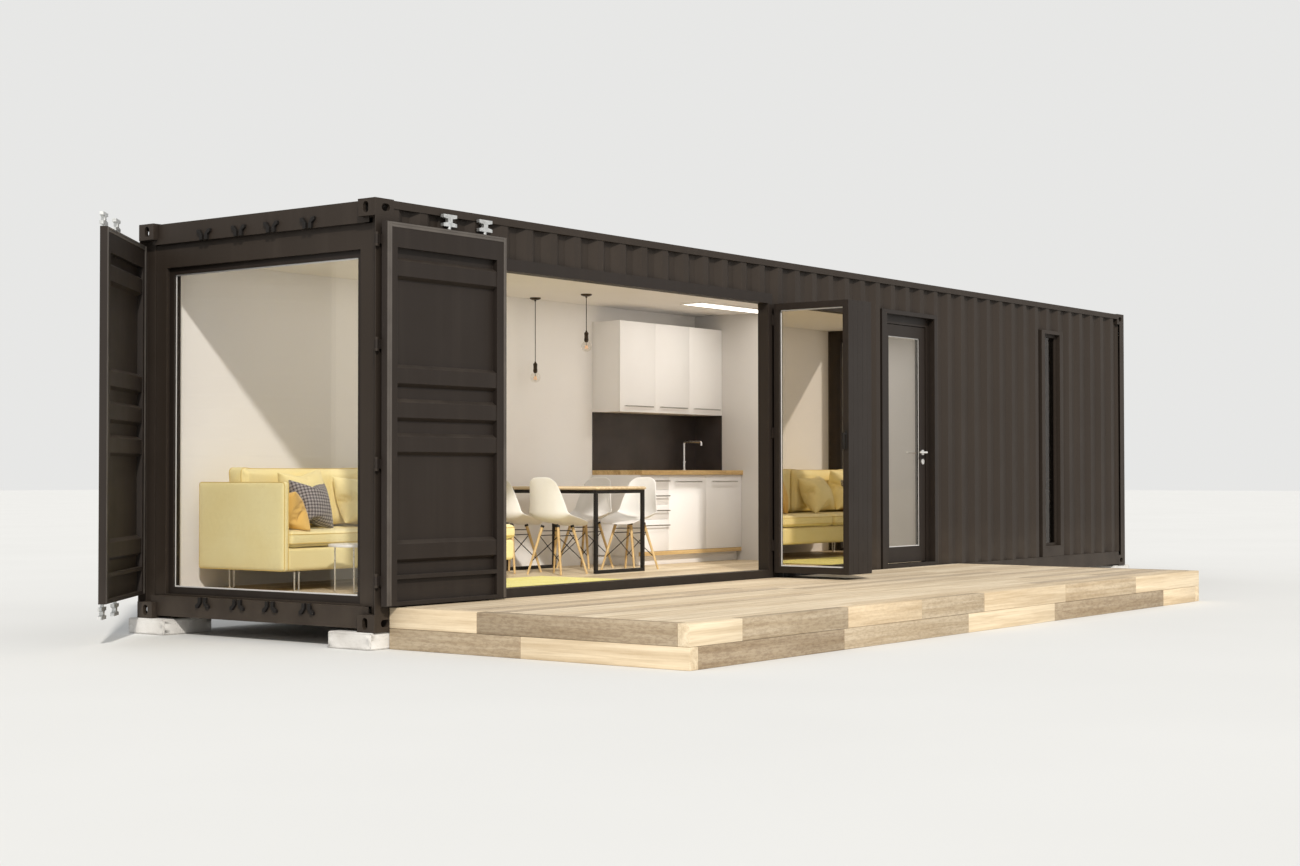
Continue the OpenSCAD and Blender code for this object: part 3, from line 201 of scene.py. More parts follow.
def painted_steel(name, colour, worn, dusty, rough=0.6, soiled=0.2, rounding=0.003):
    """Sprayed steel: a matt, nearly even coat, faint rain streaks, dust on ledges and near the
    ground, edges lightened both as worn paint and as a painted highlight, and painted shade in the creases."""
    finish, tree, shader = start_finish(name, rough=rough, shine=0.26)
    place = where(tree)
    cloud = noise(tree, place, 1.1, 5.0)
    streak = noise(tree, place, 1.0, 4.0, stretch=(9, 9, 0.35))
    grain = noise(tree, place, 55.0, 3.0)
    base = mix(tree, ramp(tree, cloud, (0.3, 0.0), (0.7, 1.0)), tint(*(c * 0.97 for c in colour)),
               tint(*(c * 1.03 for c in colour)))
    base = mix(tree, ramp(tree, streak, (0.5, 0.0), (0.78, 0.07)), base, tint(*worn))
    surface = add(tree, "NewGeometry")
    rounded = add(tree, "Bevel", {"Radius": rounding}, samples=4)
    turned = add(tree, "VectorMath", {0: rounded.outputs[0], 1: surface.outputs["Normal"]},
                 operation="DOT_PRODUCT").outputs["Value"]
    # wear and painted highlight: edges found by the rounded normal turn towards the worn tone, partly paint rubbed
    # off, partly light caught on the edges
    edge = ramp(tree, turned, (0.80, 1.0), (0.985, 0.0))
    edge = calc(tree, "MULTIPLY", edge, ramp(tree, noise(tree, place, 14.0, 4.0), (0.35, 0.15), (0.65, 0.55)))
    base = mix(tree, edge, base, tint(*worn))
    up = add(tree, "SeparateXYZ", {0: surface.outputs["Normal"]}).outputs["Z"]
    ledge = ramp(tree, up, (0.6, 0.0), (0.95, 0.35))
    height = add(tree, "SeparateXYZ", {0: place}).outputs["Z"]
    near = add(tree, "MapRange", {"Value": height, "From Min": 0.1, "From Max": 0.7, "To Min": soiled,
                                  "To Max": 0.0}).outputs[0]
    dirt = calc(tree, "MAXIMUM", near, ledge)
    dirt = calc(tree, "MULTIPLY", dirt, ramp(tree, noise(tree, place, 5.0, 6.0), (0.3, 0.2), (0.7, 1.0)))
    base = mix(tree, dirt, base, tint(*dusty))
    # painted shade: creases and recesses found by ambient occlusion are darkened towards a dark brown, as shade falls
    # there
    crease_shade = add(tree, "AmbientOcclusion", {"Distance": 0.07}, samples=4).outputs["AO"]
    base = mix(tree, ramp(tree, crease_shade, (0.35, 0.62), (0.85, 0.0)), base, (0.30, 0.27, 0.25, 1), "MULTIPLY")
    gloss = ramp(tree, noise(tree, place, 3.0, 4.0), (0.3, rough - 0.03), (0.7, rough + 0.05))
    raised = coat_over(tree, shader, base, grain, 0.12, 0.001, gloss)
    tree.links.new(rounded.outputs[0], raised.inputs["Normal"])
    return finish


def dress(finish, *names):
    """Gives whole frame nodes one finish."""
    for name in names:
        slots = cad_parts[name].material_slots
        for slot in slots:
            slot.material = finish
        if not slots:
            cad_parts[name].data.materials.append(finish)


dark_coat = painted_steel("dark_coat", (49, 41, 34), (98, 88, 78), (112, 100, 86))
dress(dark_coat, "base_frame", "corner_castings", "corner_posts", "top_side_rails", "door_header",
      "door_sill", "far_end_rails", "roof_sheet", "back_wall_sheet", "far_end_wall_sheet",
      "front_wall_sheets", "front_fascia_sheets", "hinge_lugs", "end_infill", "slit_surround")
leaf_coat = painted_steel("leaf_coat", (39, 32, 27), (90, 81, 73), (96, 87, 77), soiled=0.1)
dress(leaf_coat, "right_cargo_leaf", "left_cargo_leaf")
keeper_coat = painted_steel("keeper_coat", (28, 25, 23), (58, 53, 49), (60, 55, 50), soiled=0.0)
dress(keeper_coat, "door_keepers")

# The frames of the openings.
# Extruded bars with thermal breaks, powder coated a shade darker and smoother than the box.
frame_coat = painted_steel("frame_coat", (39, 32, 27), (80, 73, 65), (94, 86, 76), rough=0.52,
                           soiled=0.1, rounding=0.002)
dress(frame_coat, "opening_frame", "folding_door_frames", "door_surround", "entrance_leaf",
      "end_window_frame")

# The door gear.
# Hot-dip galvanised lock rods, cams, guides and handles, with a faint spangle and dull streaks.
gear_zinc, tree, shader = start_finish("gear_zinc", rough=0.4, metal=0.85)
place = where(tree)
spangle = add(tree, "TexVoronoi", {"Vector": place, "Scale": 60.0}).outputs["Color"]
spangle = ramp(tree, spangle, (0.2, tint(196, 198, 198)), (0.8, tint(226, 227, 226)))
dull = ramp(tree, noise(tree, place, 8.0, 5.0), (0.4, 0.0), (0.75, 0.5))
coat_over(tree, shader, mix(tree, dull, spangle, tint(168, 166, 160)), noise(tree, place, 120.0), 0.1,
          0.0005, ramp(tree, noise(tree, place, 20.0), (0.3, 0.32), (0.7, 0.55)))
dress(gear_zinc, "right_lock_rods", "left_lock_rods")

# The glass.
# Sealed double panes: clear ones in the window and the door, a smoked one in the slit and
# bronze-toned ones that mirror the room in the folding leaves.


def thin_pane(name, colour, mirrored):
    """A flat pane that lets sun and sight straight through and mirrors the given share."""
    finish = start_finish(name, rough=0.0, metal=1.0, others={"Base Color": tint(*colour), "Alpha": mirrored})[0]
    finish.surface_render_method = "BLENDED"
    return finish


dress(thin_pane("clear_pane", (214, 206, 190), 0.07), "end_window_glass")
dress(thin_pane("door_pane", (206, 200, 188), 0.16), "entrance_glass")
dress(thin_pane("smoked_pane", (66, 61, 57), 0.8), "slit_glass")
bronze_pane = start_finish("bronze_pane", rough=0.0, metal=0.7, others={
    "Base Color": tint(240, 231, 219), "Transmission Weight": 1.0, "IOR": 1.5})[0]
dress(bronze_pane, "folding_door_glass")

# The deck.
# Sawn softwood: boards laid along the cabin on joists, edged by two courses of square timbers
# that lap at the corners, all butt-jointed and only lightly weathered.
deck_low, deck_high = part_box("deck_top")
edge_low, edge_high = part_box("deck_edging")
grain_draw = random.Random(7)


def start_block(name, low, high):
    """One cube primitive stretched between two corners, its place in its mesh."""
    bpy.ops.object.select_all(action="DESELECT")
    middle = (Vector(low) + Vector(high)) / 2
    bpy.ops.mesh.primitive_cube_add(size=1, location=middle, scale=Vector(high) - Vector(low))
    bpy.ops.object.transform_apply(location=True, rotation=True, scale=True)
    made = bpy.context.object
    made.name = name
    return made


def mark(piece, **values):
    """Gives all corners of a piece a number of their own, which its finish reads."""
    for name, value in values.items():
        layer = piece.data.attributes.new(name, "FLOAT", "POINT")
        layer.data.foreach_set("value", [value] * len(piece.data.vertices))


def join_up(name, parts):
    """Makes one object of several."""
    bpy.ops.object.select_all(action="DESELECT")
    for part in parts:
        part.select_set(True)
    bpy.context.view_layer.objects.active = parts[0]
    bpy.ops.object.join()
    made = bpy.context.object
    made.name = name
    made.data.name = name
    return made


def pick(piece):
    """Selects one piece alone and makes it active."""
    bpy.ops.object.select_all(action="DESELECT")
    piece.select_set(True)
    bpy.context.view_layer.objects.active = piece


def shape(piece, kind, **settings):
    """Sets up one modifier on a piece and applies it."""
    pick(piece)
    made = piece.modifiers.new(kind.lower(), kind)
    for name, value in settings.items():
        setattr(made, name, value)
    bpy.ops.object.modifier_apply(modifier=made.name)


def ease_edges(piece, width, segments=2):
    """Rounds over the sharp edges by a width in millimetres and smooths what is left."""
    shape(piece, "BEVEL", width=width / 1000, segments=segments, limit_method="ANGLE",
          angle_limit=math.radians(30))
    bpy.ops.object.shade_smooth_by_angle(angle=math.radians(35))


def settle(piece, body, finish, slot, *stands_for):
    """Gives a finished piece its material and its place in the frame."""
    piece.data.materials.clear()
    piece.data.materials.append(finish)
    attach(piece, body)
    if stands_for:
        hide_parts(*stands_for)
    return piece


def sawn_wood(name, stops, along, ring=1.0, rough=0.78, raised=0.35):
    """Flat-sawn wood. Each board's own tone picks its colour and shifts its grain."""
    finish, tree, shader = start_finish(name, rough=rough, shine=0.25)
    tone = add(tree, "Attribute", attribute_name="tone").outputs["Fac"]
    cut = add(tree, "Attribute", attribute_name="cut").outputs["Fac"]
    shift = add(tree, "CombineXYZ", {axis: calc(tree, "MULTIPLY", cut, far)
                                     for axis, far in enumerate((7.3, 3.1, 5.7))}).outputs[0]
    moved = add(tree, "VectorMath", {0: where(tree), 1: shift}, operation="ADD").outputs["Vector"]

    def pattern(across, down, detail, roughness=0.5):
        """Noise drawn out along the grain."""
        stretch = [across] * 3
        stretch[along] = down
        return noise(tree, moved, 1.0, detail, stretch, roughness)

    figure = pattern(30.0 * ring, 1.1 * ring, 5.0, 0.55)
    fibre = pattern(150.0 * ring, 4.0 * ring, 3.0)
    fleck = pattern(80.0 * ring, 24.0 * ring, 4.0, 0.7)
    patch = pattern(5.0, 0.9, 3.0)
    worn = calc(tree, "MULTIPLY", ramp(tree, fleck, (0.42, 1.0), (0.55, 0.0)), tone)
    colour = ramp(tree, tone, *stops)
    for share, shade in ((ramp(tree, figure, (0.38, 0.55), (0.62, 0.0)), (0.62, 0.55, 0.46, 1)),
                         (ramp(tree, patch, (0.45, 0.0), (0.75, 0.5)), (0.80, 0.79, 0.78, 1)),
                         (ramp(tree, fibre, (0.35, 0.35), (0.6, 0.0)), (0.72, 0.66, 0.58, 1)),
                         (worn, (0.78, 0.75, 0.74, 1))):
        colour = mix(tree, share, colour, shade, "MULTIPLY")
    height = calc(tree, "ADD", figure, calc(tree, "MULTIPLY", fibre, 0.6))
    coat_over(tree, shader, colour, height, raised, 0.002,
              ramp(tree, figure, (0.3, rough + 0.1), (0.7, rough - 0.08)))
    return finish


def lay_boards(name, draw, low, high, rows, first, then, shortest, side_gap=0.0, end_gap=0.0, tones=1.0):
    """Boards along X in rows between two corners. A row's first board and the later ones have random
    lengths within two ranges, and a rest under the shortest is taken into the last one."""
    boards = []
    pitch = (high.y - low.y) / rows
    for row in range(rows):
        x, y = low.x, low.y + row * pitch
        length = draw.uniform(*first)
        while x < high.x - 0.001:
            end = min(x + length, high.x)
            if high.x - end < shortest:
                end = high.x
            board = start_block(name, (x + end_gap, y + side_gap, low.z),
                                (end - end_gap, y + pitch - side_gap, high.z))
            mark(board, tone=draw.uniform(0.0, tones), cut=draw.random())
            boards.append(board)
            x = end
            length = draw.uniform(*then)
    return boards


board_stops = ((0.0, tint(240, 225, 199)), (0.4, tint(229, 211, 182)), (0.7, tint(210, 194, 171)),
               (1.0, tint(184, 170, 152)))
board_thick = 0.035
boards = lay_boards("deck_board", grain_draw, Vector((deck_low.x, deck_low.y, deck_high.z - board_thick)), deck_high,
                    17, (1.2, 3.6), (2.6, 3.9), 0.7, side_gap=0.002, end_gap=0.001, tones=0.75)
deck_boards = join_up("deck_boards", boards)
ease_edges(deck_boards, 2.5, 1)
settle(deck_boards, "cabin", sawn_wood("deck_wood_along", board_stops, 0), "deck_timber", "deck_top")

joists = []
joist_wide, joist_bays = 0.045, 10
for k in range(joist_bays + 1):
    x = deck_low.x + k * (deck_high.x - deck_low.x - joist_wide) / joist_bays
    joist = start_block("deck_joist", (x, deck_low.y, deck_low.z),
                        (x + joist_wide, deck_high.y, deck_high.z - board_thick - 0.0005))
    mark(joist, tone=grain_draw.uniform(0.4, 1.0), cut=grain_draw.random())
    joists.append(joist)
deck_joists = join_up("deck_joists", joists)
ease_edges(deck_joists, 2, 1)
settle(deck_joists, "cabin", sawn_wood("deck_wood_across", board_stops, 1), "deck_timber", "deck_top")

# Each course of the edging: its level, and its timbers, each with its two ends in millimetres and
# its tone from pale to grey.
course = (edge_high.z - edge_low.z) / 2
timber_wide, joint = 0.09, 0.0008
front_timbers = (
    (1, (140, 700, 0.02), (700, 1950, 0.8), (1950, 2950, 0.35), (2950, 3900, 0.7), (3900, 5300, 0.15),
     (5300, 6700, 0.55), (6700, 8130, 0.1)),
    (0, (230, 1900, 0.95), (1900, 3650, 0.7), (3650, 5100, 0.05), (5100, 7300, 0.9), (7300, 8040, 0.2)),
)
end_timbers = (
    (1, (-2380, -780, 0.9), (-780, -0.3, 0.1)),
    (0, (-2470, -1150, 0.1), (-1150, -0.3, 0.85)),
)
along, across = [], []
for level, *timbers in front_timbers:
    z = edge_low.z + level * course
    for left, right, tone in timbers:
        timber = start_block("edging", (at(left, 0, 0).x + joint, edge_low.y, z + joint),
                             (at(right, 0, 0).x - joint, edge_low.y + timber_wide, z + course - joint))
        mark(timber, tone=tone, cut=grain_draw.random())
        along.append(timber)
for level, *timbers in end_timbers:
    z = edge_low.z + level * course
    for side in (edge_low.x, edge_high.x - timber_wide):
        for near, far, tone in timbers:
            timber = start_block("edging", (side, at(0, near, 0).y + joint, z + joint),
                                 (side + timber_wide, at(0, far, 0).y - joint, z + course - joint))
            mark(timber, tone=tone, cut=grain_draw.random())
            across.append(timber)
edging_stops = ((0.0, tint(242, 225, 195)), (0.35, tint(229, 208, 175)), (0.7, tint(206, 190, 164)),
                (0.85, tint(192, 176, 151)), (1.0, tint(174, 156, 131)))
for name, timbers, axis in (("edging_front", along, 0), ("edging_ends", across, 1)):
    edging = join_up(name, timbers)
    ease_edges(edging, 4, 2)
    settle(edging, "cabin", sawn_wood(name + "_wood", edging_stops, axis, ring=0.8, raised=0.5),
           "deck_timber", "deck_edging")

# The foundation blocks.
# Cast concrete pads, pale with lime, their arrises knocked and their faces pitted.
cast_pad, tree, shader = start_finish("cast_pad", rough=0.92, shine=0.2)
place = where(tree)
lime = ramp(tree, noise(tree, place, 4.0, 6.0), (0.3, tint(198, 194, 188)), (0.55, tint(222, 219, 214)),
            (0.8, tint(234, 232, 228)))
pits = add(tree, "TexVoronoi", {"Vector": place, "Scale": 70.0}).outputs["Distance"]
pits = ramp(tree, pits, (0.05, 0.0), (0.22, 1.0))
speck = mix(tree, ramp(tree, pits, (0.0, 0.35), (1.0, 0.0)), lime, tint(150, 146, 140))
coat_over(tree, shader, speck, calc(tree, "ADD", pits, noise(tree, place, 28.0, 6.0)), 0.6, 0.006)

pad_draw = random.Random(3)
pad_long, pad_wide, knock = 0.45, 0.4, 0.0016
block_low, block_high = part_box("foundation_blocks")
pads = []
for k in range(4):
    for y in (block_low.y, block_high.y - pad_wide):
        x = block_low.x + k * (block_high.x - pad_long - block_low.x) / 3
        top = corner.z if k in (0, 3) else corner.z + 0.015
        pads.append(start_block("pad", (x, y, 0), (x + pad_long, y + pad_wide, top)))
foundation_pads = join_up("foundation_pads", pads)
ease_edges(foundation_pads, 12, 3)
bpy.ops.object.mode_set(mode="EDIT")
bpy.ops.mesh.select_all(action="SELECT")
bpy.ops.mesh.subdivide(number_cuts=7)
bpy.ops.object.mode_set(mode="OBJECT")
for point in foundation_pads.data.vertices:
    if 0.004 < point.co.z < corner.z - 0.004:
        point.co.x += pad_draw.uniform(-knock, knock)
        point.co.y += pad_draw.uniform(-knock, knock)
settle(foundation_pads, "cabin", cast_pad, "concrete", "foundation_blocks")

# The room's shell.
# Plasterboard on studs, rolled with matt white paint, and a cross wall a shade greyer.


def even_coat(name, dark, pale, tones, raised, relief=None, gloss=None, patches=None, stops=(0.3, 0.7), **start):
    """A coat with a slow change between two tones, a fine relief and an uneven gloss. Tones, relief and
    patches are each pattern's scale and detail; the last two follow the tones where they aren't given."""
    finish, tree, shader = start_finish(name, **start)
    place = where(tree)
    cloud = noise(tree, place, *tones)
    colour = ramp(tree, cloud, (stops[0], tint(*dark)), (stops[1], tint(*pale)))
    height = noise(tree, place, *relief) if relief else cloud
    shiny = None
    if gloss:
        shiny = ramp(tree, noise(tree, place, *patches) if patches else cloud, (0.3, gloss[0]), (0.7, gloss[1]))
    coat_over(tree, shader, colour, height, *raised, shiny)
    return finish


white_wall = even_coat("white_wall", (235, 231, 227), (241, 238, 234), (0.9, 4.0), (0.12, 0.0008),
                       relief=(260.0, 3.0), rough=0.82, shine=0.25)
grey_wall = even_coat("grey_wall", (205, 201, 197), (213, 210, 206), (0.9, 4.0), (0.12, 0.0008),
                      relief=(260.0, 3.0), rough=0.82, shine=0.25)
dress(white_wall, "wall_linings", "ceiling_lining")
dress(grey_wall, "partition_wall")

# The cabin floor.
# Pale oak boards glued over the old plywood, laid along the cabin with staggered butt joints.
floor_low, floor_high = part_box("cabin_floor")
oak_stops = ((0.0, tint(237, 223, 195)), (0.5, tint(229, 213, 183)), (1.0, tint(217, 199, 167)))
floor_oak = sawn_wood("floor_oak", oak_stops, 0, ring=1.3, rough=0.42, raised=0.12)
sub_floor = start_block("sub_floor", floor_low, (floor_high.x, floor_high.y, floor_high.z - 0.014))
mark(sub_floor, tone=0.9, cut=0.5)
planks = lay_boards("plank", random.Random(21), Vector((floor_low.x, floor_low.y, floor_high.z - 0.0138)), floor_high,
                    12, (0.5, 2.2), (1.8, 2.4), 0.5, side_gap=0.0004, end_gap=0.0004)
floor_planks = join_up("floor_planks", [sub_floor] + planks)
ease_edges(floor_planks, 0.8, 1)
settle(floor_planks, "cabin", floor_oak, "floor_boards", "cabin_floor")

# The sofa.
# A foam-padded frame with one thin flat arm at the left, covered in a pale yellow weave, on bent rod
# legs; two loose seat cushions and two back cushions with piped seams stand on it.


def woven_cloth(name, warm, cool, slub=0.3, thread=420.0, sheen=0.25):
    """Plain weave: two sets of threads crossing, slubs and a slow change of dye."""
    sheen_sockets = {"Sheen Weight": sheen, "Sheen Roughness": 0.5}
    finish, tree, shader = start_finish(name, rough=0.9, shine=0.2, others=sheen_sockets)
    place = where(tree)
    wave = []
    for axis in ("X", "Y", "Z"):
        made = add(tree, "TexWave", {"Vector": place, "Scale": thread / 6.3, "Distortion": 0.6,
                                     "Detail": 1.0}, bands_direction=axis)
        wave.append(made.outputs["Fac"])
    crossing = calc(tree, "MULTIPLY", calc(tree, "ADD", wave[0], wave[1]), wave[2])
    slubs = noise(tree, place, 1.0, 3.0, stretch=(240, 40, 40))
    dye = noise(tree, place, 2.6, 4.0)
    colour = ramp(tree, dye, (0.3, tint(*cool)), (0.7, tint(*warm)))
    colour = mix(tree, ramp(tree, slubs, (0.42, slub), (0.6, 0.0)), colour, (0.90, 0.87, 0.82, 1), "MULTIPLY")
    colour = mix(tree, ramp(tree, crossing, (0.1, 0.35), (0.9, 0.0)), colour, (0.86, 0.82, 0.74, 1), "MULTIPLY")
    height = calc(tree, "ADD", crossing, calc(tree, "MULTIPLY", noise(tree, place, 30.0, 4.0), 2.0))
    coat_over(tree, shader, colour, height, 0.35, 0.0015)
    return finish


yellow_weave = woven_cloth("yellow_weave", (255, 242, 186), (252, 235, 172))


def swell(piece, pressure, frames, **cloth_settings):
    """Blows up a closed cover by air pressure over some frames and applies what it has become."""
    stuffing = piece.modifiers.new("stuffing", "CLOTH")
    cloth_settings = {"use_pressure": True, "uniform_pressure_force": pressure, **cloth_settings}
    for name, value in cloth_settings.items():
        setattr(stuffing.settings, name, value)
    stuffing.settings.effector_weights.gravity = 0
    stuffing.collision_settings.use_collision = False
    stuffing.point_cache.frame_end = frames
    for step in range(1, frames + 1):
        bpy.context.scene.frame_set(step)
    bpy.ops.object.modifier_apply(modifier=stuffing.name)
    bpy.context.scene.frame_set(1)


def upholstered(name, low, high, corner_radius, cap, voxel=15, inset=0.005):
    """A padded block a little inside its corners: rounded, remeshed and swollen, each point moving no
    further than the cap, in millimetres, and then subdivided."""
    block = start_block(name, Vector(low) + Vector((inset,) * 3), Vector(high) - Vector((inset,) * 3))
    ease_edges(block, corner_radius, 5)
    block.data.remesh_voxel_size = voxel / 1000
    bpy.ops.object.voxel_remesh()
    start = [point.co.copy() for point in block.data.vertices]
    swell(block, 4.0, 16, quality=4, mass=0.3, shrink_min=-0.015)
    for point, old in zip(block.data.vertices, start):
        move = point.co - old
        if move.length > cap / 1000:
            point.co = old + move * (cap / 1000 / move.length)
    shape(block, "SUBSURF", levels=1, render_levels=1)
    bpy.ops.object.shade_smooth()
    return block


def bent_rod(name, points, radius, closed=False, smooth=True, resolution=3):
    """A round rod bent through the points, capped at its ends, as a mesh."""
    line = bpy.data.curves.new(name, "CURVE")
    line.dimensions = "3D"
    line.bevel_depth = radius
    line.bevel_resolution = resolution
    line.use_fill_caps = True
    line.resolution_u = 6
    spline = line.splines.new("NURBS" if smooth else "POLY")
    spline.points.add(len(points) - 1)
    for knot, point in zip(spline.points, points):
        knot.co = (*point, 1)
    spline.use_cyclic_u = closed
    spline.use_endpoint_u = True
    spline.order_u = 3
    rod = bpy.data.objects.new(name, line)
    bpy.context.scene.collection.objects.link(rod)
    pick(rod)
    bpy.ops.object.convert(target="MESH")
    rod = bpy.context.object
    bpy.ops.object.shade_smooth_by_angle(angle=math.radians(40))
    return rod


def piping(name, cover, points, radius=0.0035):
    """A thin corded seam laid on a cover along a ring of points."""
    laid = []
    for point in points:
        found, place, normal, _ = cover.closest_point_on_mesh(point)
        laid.append(place + normal * radius * 0.4 if found else point)
    return bent_rod(name, laid, radius, closed=True, smooth=False, resolution=1)


def ring(low, high, level, radius, steps=6, gap=0.03):
    """Points round an upright block's rounded outline at one level, corner by corner."""
    points = []
    for cx, cy, start in ((high.x - radius, high.y - radius, 0), (low.x + radius, high.y - radius, 90),
                          (low.x + radius, low.y + radius, 180), (high.x - radius, low.y + radius, 270)):
        for k in range(steps + 1):
            turn = math.radians(start + 90 * k / steps)
            points.append(Vector((cx + radius * math.cos(turn), cy + radius * math.sin(turn), level)))
    full = []
    for one, two in zip(points, points[1:] + points[:1]):
        count = max(1, int((two - one).length / gap))
        full += [one.lerp(two, k / count) for k in range(count)]
    return full


sofa_low, sofa_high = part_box("sofa_frame")
arm_end, base_top, foot = sofa_low.x + 0.060, corner.z + 0.524, corner.z + 0.345
arm = upholstered("sofa_arm", (sofa_low.x, sofa_low.y, foot), (arm_end - 0.001, sofa_high.y, sofa_high.z),
                  22, 4, voxel=12, inset=0.003)
base = upholstered("sofa_base", (arm_end + 0.001, sofa_low.y + 0.034, foot), (sofa_high.x, sofa_high.y, base_top),
                   26, 4, voxel=23)
back = upholstered("sofa_back", (arm_end + 0.001, sofa_high.y - 0.22, base_top - 0.03),
                   (sofa_high.x, sofa_high.y, corner.z + 0.99), 30, 6, voxel=22)
for padded in (arm, base, back):
    settle(padded, "cabin", yellow_weave, "yellow_fabric", "sofa_frame")

seam_thread = woven_cloth("seam_thread", (232, 204, 128), (222, 192, 114), thread=900.0)
seams = []
for side in (arm_end - 0.006, sofa_low.x + 0.006):
    outline = ring(Vector((sofa_low.y + 0.004, foot + 0.004, 0)),
                   Vector((sofa_high.y - 0.004, sofa_high.z - 0.004, 0)), 0, 0.034)
    seams.append(piping("seam", arm, [Vector((side, p.x, p.y)) for p in outline]))

cushion_low, cushion_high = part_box("sofa_cushions")
half = (cushion_high.x - cushion_low.x) / 2
seat_top, rest_front = corner.z + 0.6423, cushion_high.y - 0.2
for k in (0, 1):
    x = cushion_low.x + k * half
    low = Vector((x + 0.001, cushion_low.y, cushion_low.z))
    high = Vector((x + half - 0.001, cushion_high.y, seat_top))
    seat = upholstered(f"seat_cushion_{k + 1}", low, high, 30, 14, inset=0.008)
    settle(seat, "cabin", yellow_weave, "yellow_fabric", "sofa_cushions")
    margin = Vector((0.006,) * 3)
    for level in (low.z + 0.02, high.z - 0.02):
        seams.append(piping("seam", seat, ring(low + margin, high - margin, level, 0.04)))
    low = Vector((x + 0.001, rest_front, seat_top + 0.0005))
    high = Vector((x + half - 0.001, cushion_high.y, cushion_high.z))
    rest = upholstered(f"back_cushion_{k + 1}", low, high, 42, 16, inset=0.008)
    settle(rest, "cabin", yellow_weave, "yellow_fabric", "sofa_cushions")
    for depth in (low.y + 0.03, high.y - 0.03):
        outline = ring(Vector((low.x, low.z, 0)), Vector((high.x, high.z, 0)), 0, 0.05)
        seams.append(piping("seam", rest, [Vector((p.x, depth, p.y)) for p in outline]))
sofa_seams = join_up("sofa_seams", seams)
settle(sofa_seams, "cabin", seam_thread, "yellow_fabric")

# The legs of the sofa and of the side table.
# Round steel rod bent into hairpins and lacquered, with the two ends welded up under the frame.


def hairpin(name, foot_point, width, height, radius, turn=0.0):
    """One rod down, round the foot and up again, standing at the point."""
    half_width = width / 2
    profile = [(-half_width, height), (-half_width, radius + 0.012), (-half_width * 0.8, radius),
               (half_width * 0.8, radius), (half_width, radius + 0.012), (half_width, height)]
    return bent_rod(name, [foot_point + Vector((across * math.cos(turn), across * math.sin(turn), level))
                           for across, level in profile], radius)


rod_lacquer = even_coat("rod_lacquer", (206, 200, 188), (232, 228, 218), (30.0, 4.0), (0.05, 0.0005),
                        gloss=(0.22, 0.42), rough=0.28, metal=0.9)
room_floor = 200
legs = [hairpin("leg", at(x, y, room_floor), 0.044, 0.146, 0.007) for x in (550, 2810) for y in (1336, 2035)]
settle(join_up("sofa_legs", legs), "cabin", rod_lacquer, "bright_metal", "sofa_frame")

# The scatter cushions.
# Knife-edged covers sewn from two squares round a loose filling: yellow ones, and a grey one woven
# in a small plaid. They lean on the arm and on the back cushions.


def loose_cushion(name, side, cells=30, seed=0):
    """Two squares sewn at their rims and filled: lies flat round the origin, thickness up Z."""
    cut = side * 1.06
    bpy.ops.object.select_all(action="DESELECT")
    bpy.ops.mesh.primitive_grid_add(x_subdivisions=cells, y_subdivisions=cells, size=1, location=(0, 0, 0))
    bpy.ops.transform.resize(value=(cut, cut, 1))
    bpy.ops.object.transform_apply(location=True, rotation=True, scale=True)
    cover = bpy.context.object
    cover.name = name
    # an extrusion would order the points otherwise in each run, and the folds would come out otherwise
    shape(cover, "SOLIDIFY", thickness=0.012, offset=1)
    chart = cover.data.uv_layers.new(name="cloth")
    for loop in cover.data.loops:
        point = cover.data.vertices[loop.vertex_index].co
        chart.data[loop.index].uv = (point.x / side + 0.5, point.y / side + 0.5)
    draw = random.Random(seed)
    phase = [draw.uniform(0, 6.3) for _ in range(4)]
    for point in cover.data.vertices:
        u, v = 2 * point.co.x / cut, 2 * point.co.y / cut
        puff = max(0.0, (1 - u * u) * (1 - v * v)) ** 0.5
        ripple = 0.1 * math.sin(5 * u + phase[0]) * math.sin(4 * v + phase[1])
        ripple += 0.06 * math.sin(9 * v + phase[2] + 3 * u)
        face = 1 if point.co.z > 0.006 else -1
        point.co.z = face * (0.003 + 0.040 * puff * (1 + ripple))
        # the rims bow out a little between their middles and the corners
        point.co.x *= 1 + 0.03 * (1 - abs(v)) * abs(u) ** 3
        point.co.y *= 1 + 0.03 * (1 - abs(u)) * abs(v) ** 3
    swell(cover, 3.8, 18, quality=5, mass=0.2, tension_stiffness=12, compression_stiffness=12,
          bending_stiffness=0.15)
    shape(cover, "SUBSURF", levels=1, render_levels=1)
    return cover


def lay_cushion(cover, finish, slot_name, axis, leaning, spin, left, back=None, front=None):
    """Stands a cushion on the seat, spun in its own plane and leaned back about an axis, in degrees, with
    its left side and its back or front at the given places."""
    upright = Matrix.Rotation(math.radians(-leaning), 4, axis) @ Matrix.Rotation(math.radians(90), 4, axis)
    cover.data.transform(upright @ Matrix.Rotation(math.radians(spin), 4, "Z"))
    points = [p.co for p in cover.data.vertices]
    deep = back - max(p.y for p in points) if front is None else front - min(p.y for p in points)
    move = (left - min(p.x for p in points), deep, seat_top + 0.001 - min(p.z for p in points))
    cover.data.transform(Matrix.Translation(move))
    pick(cover)
    bpy.ops.object.shade_smooth()
    settle(cover, "cabin", finish, slot_name, "scatter_cushions")


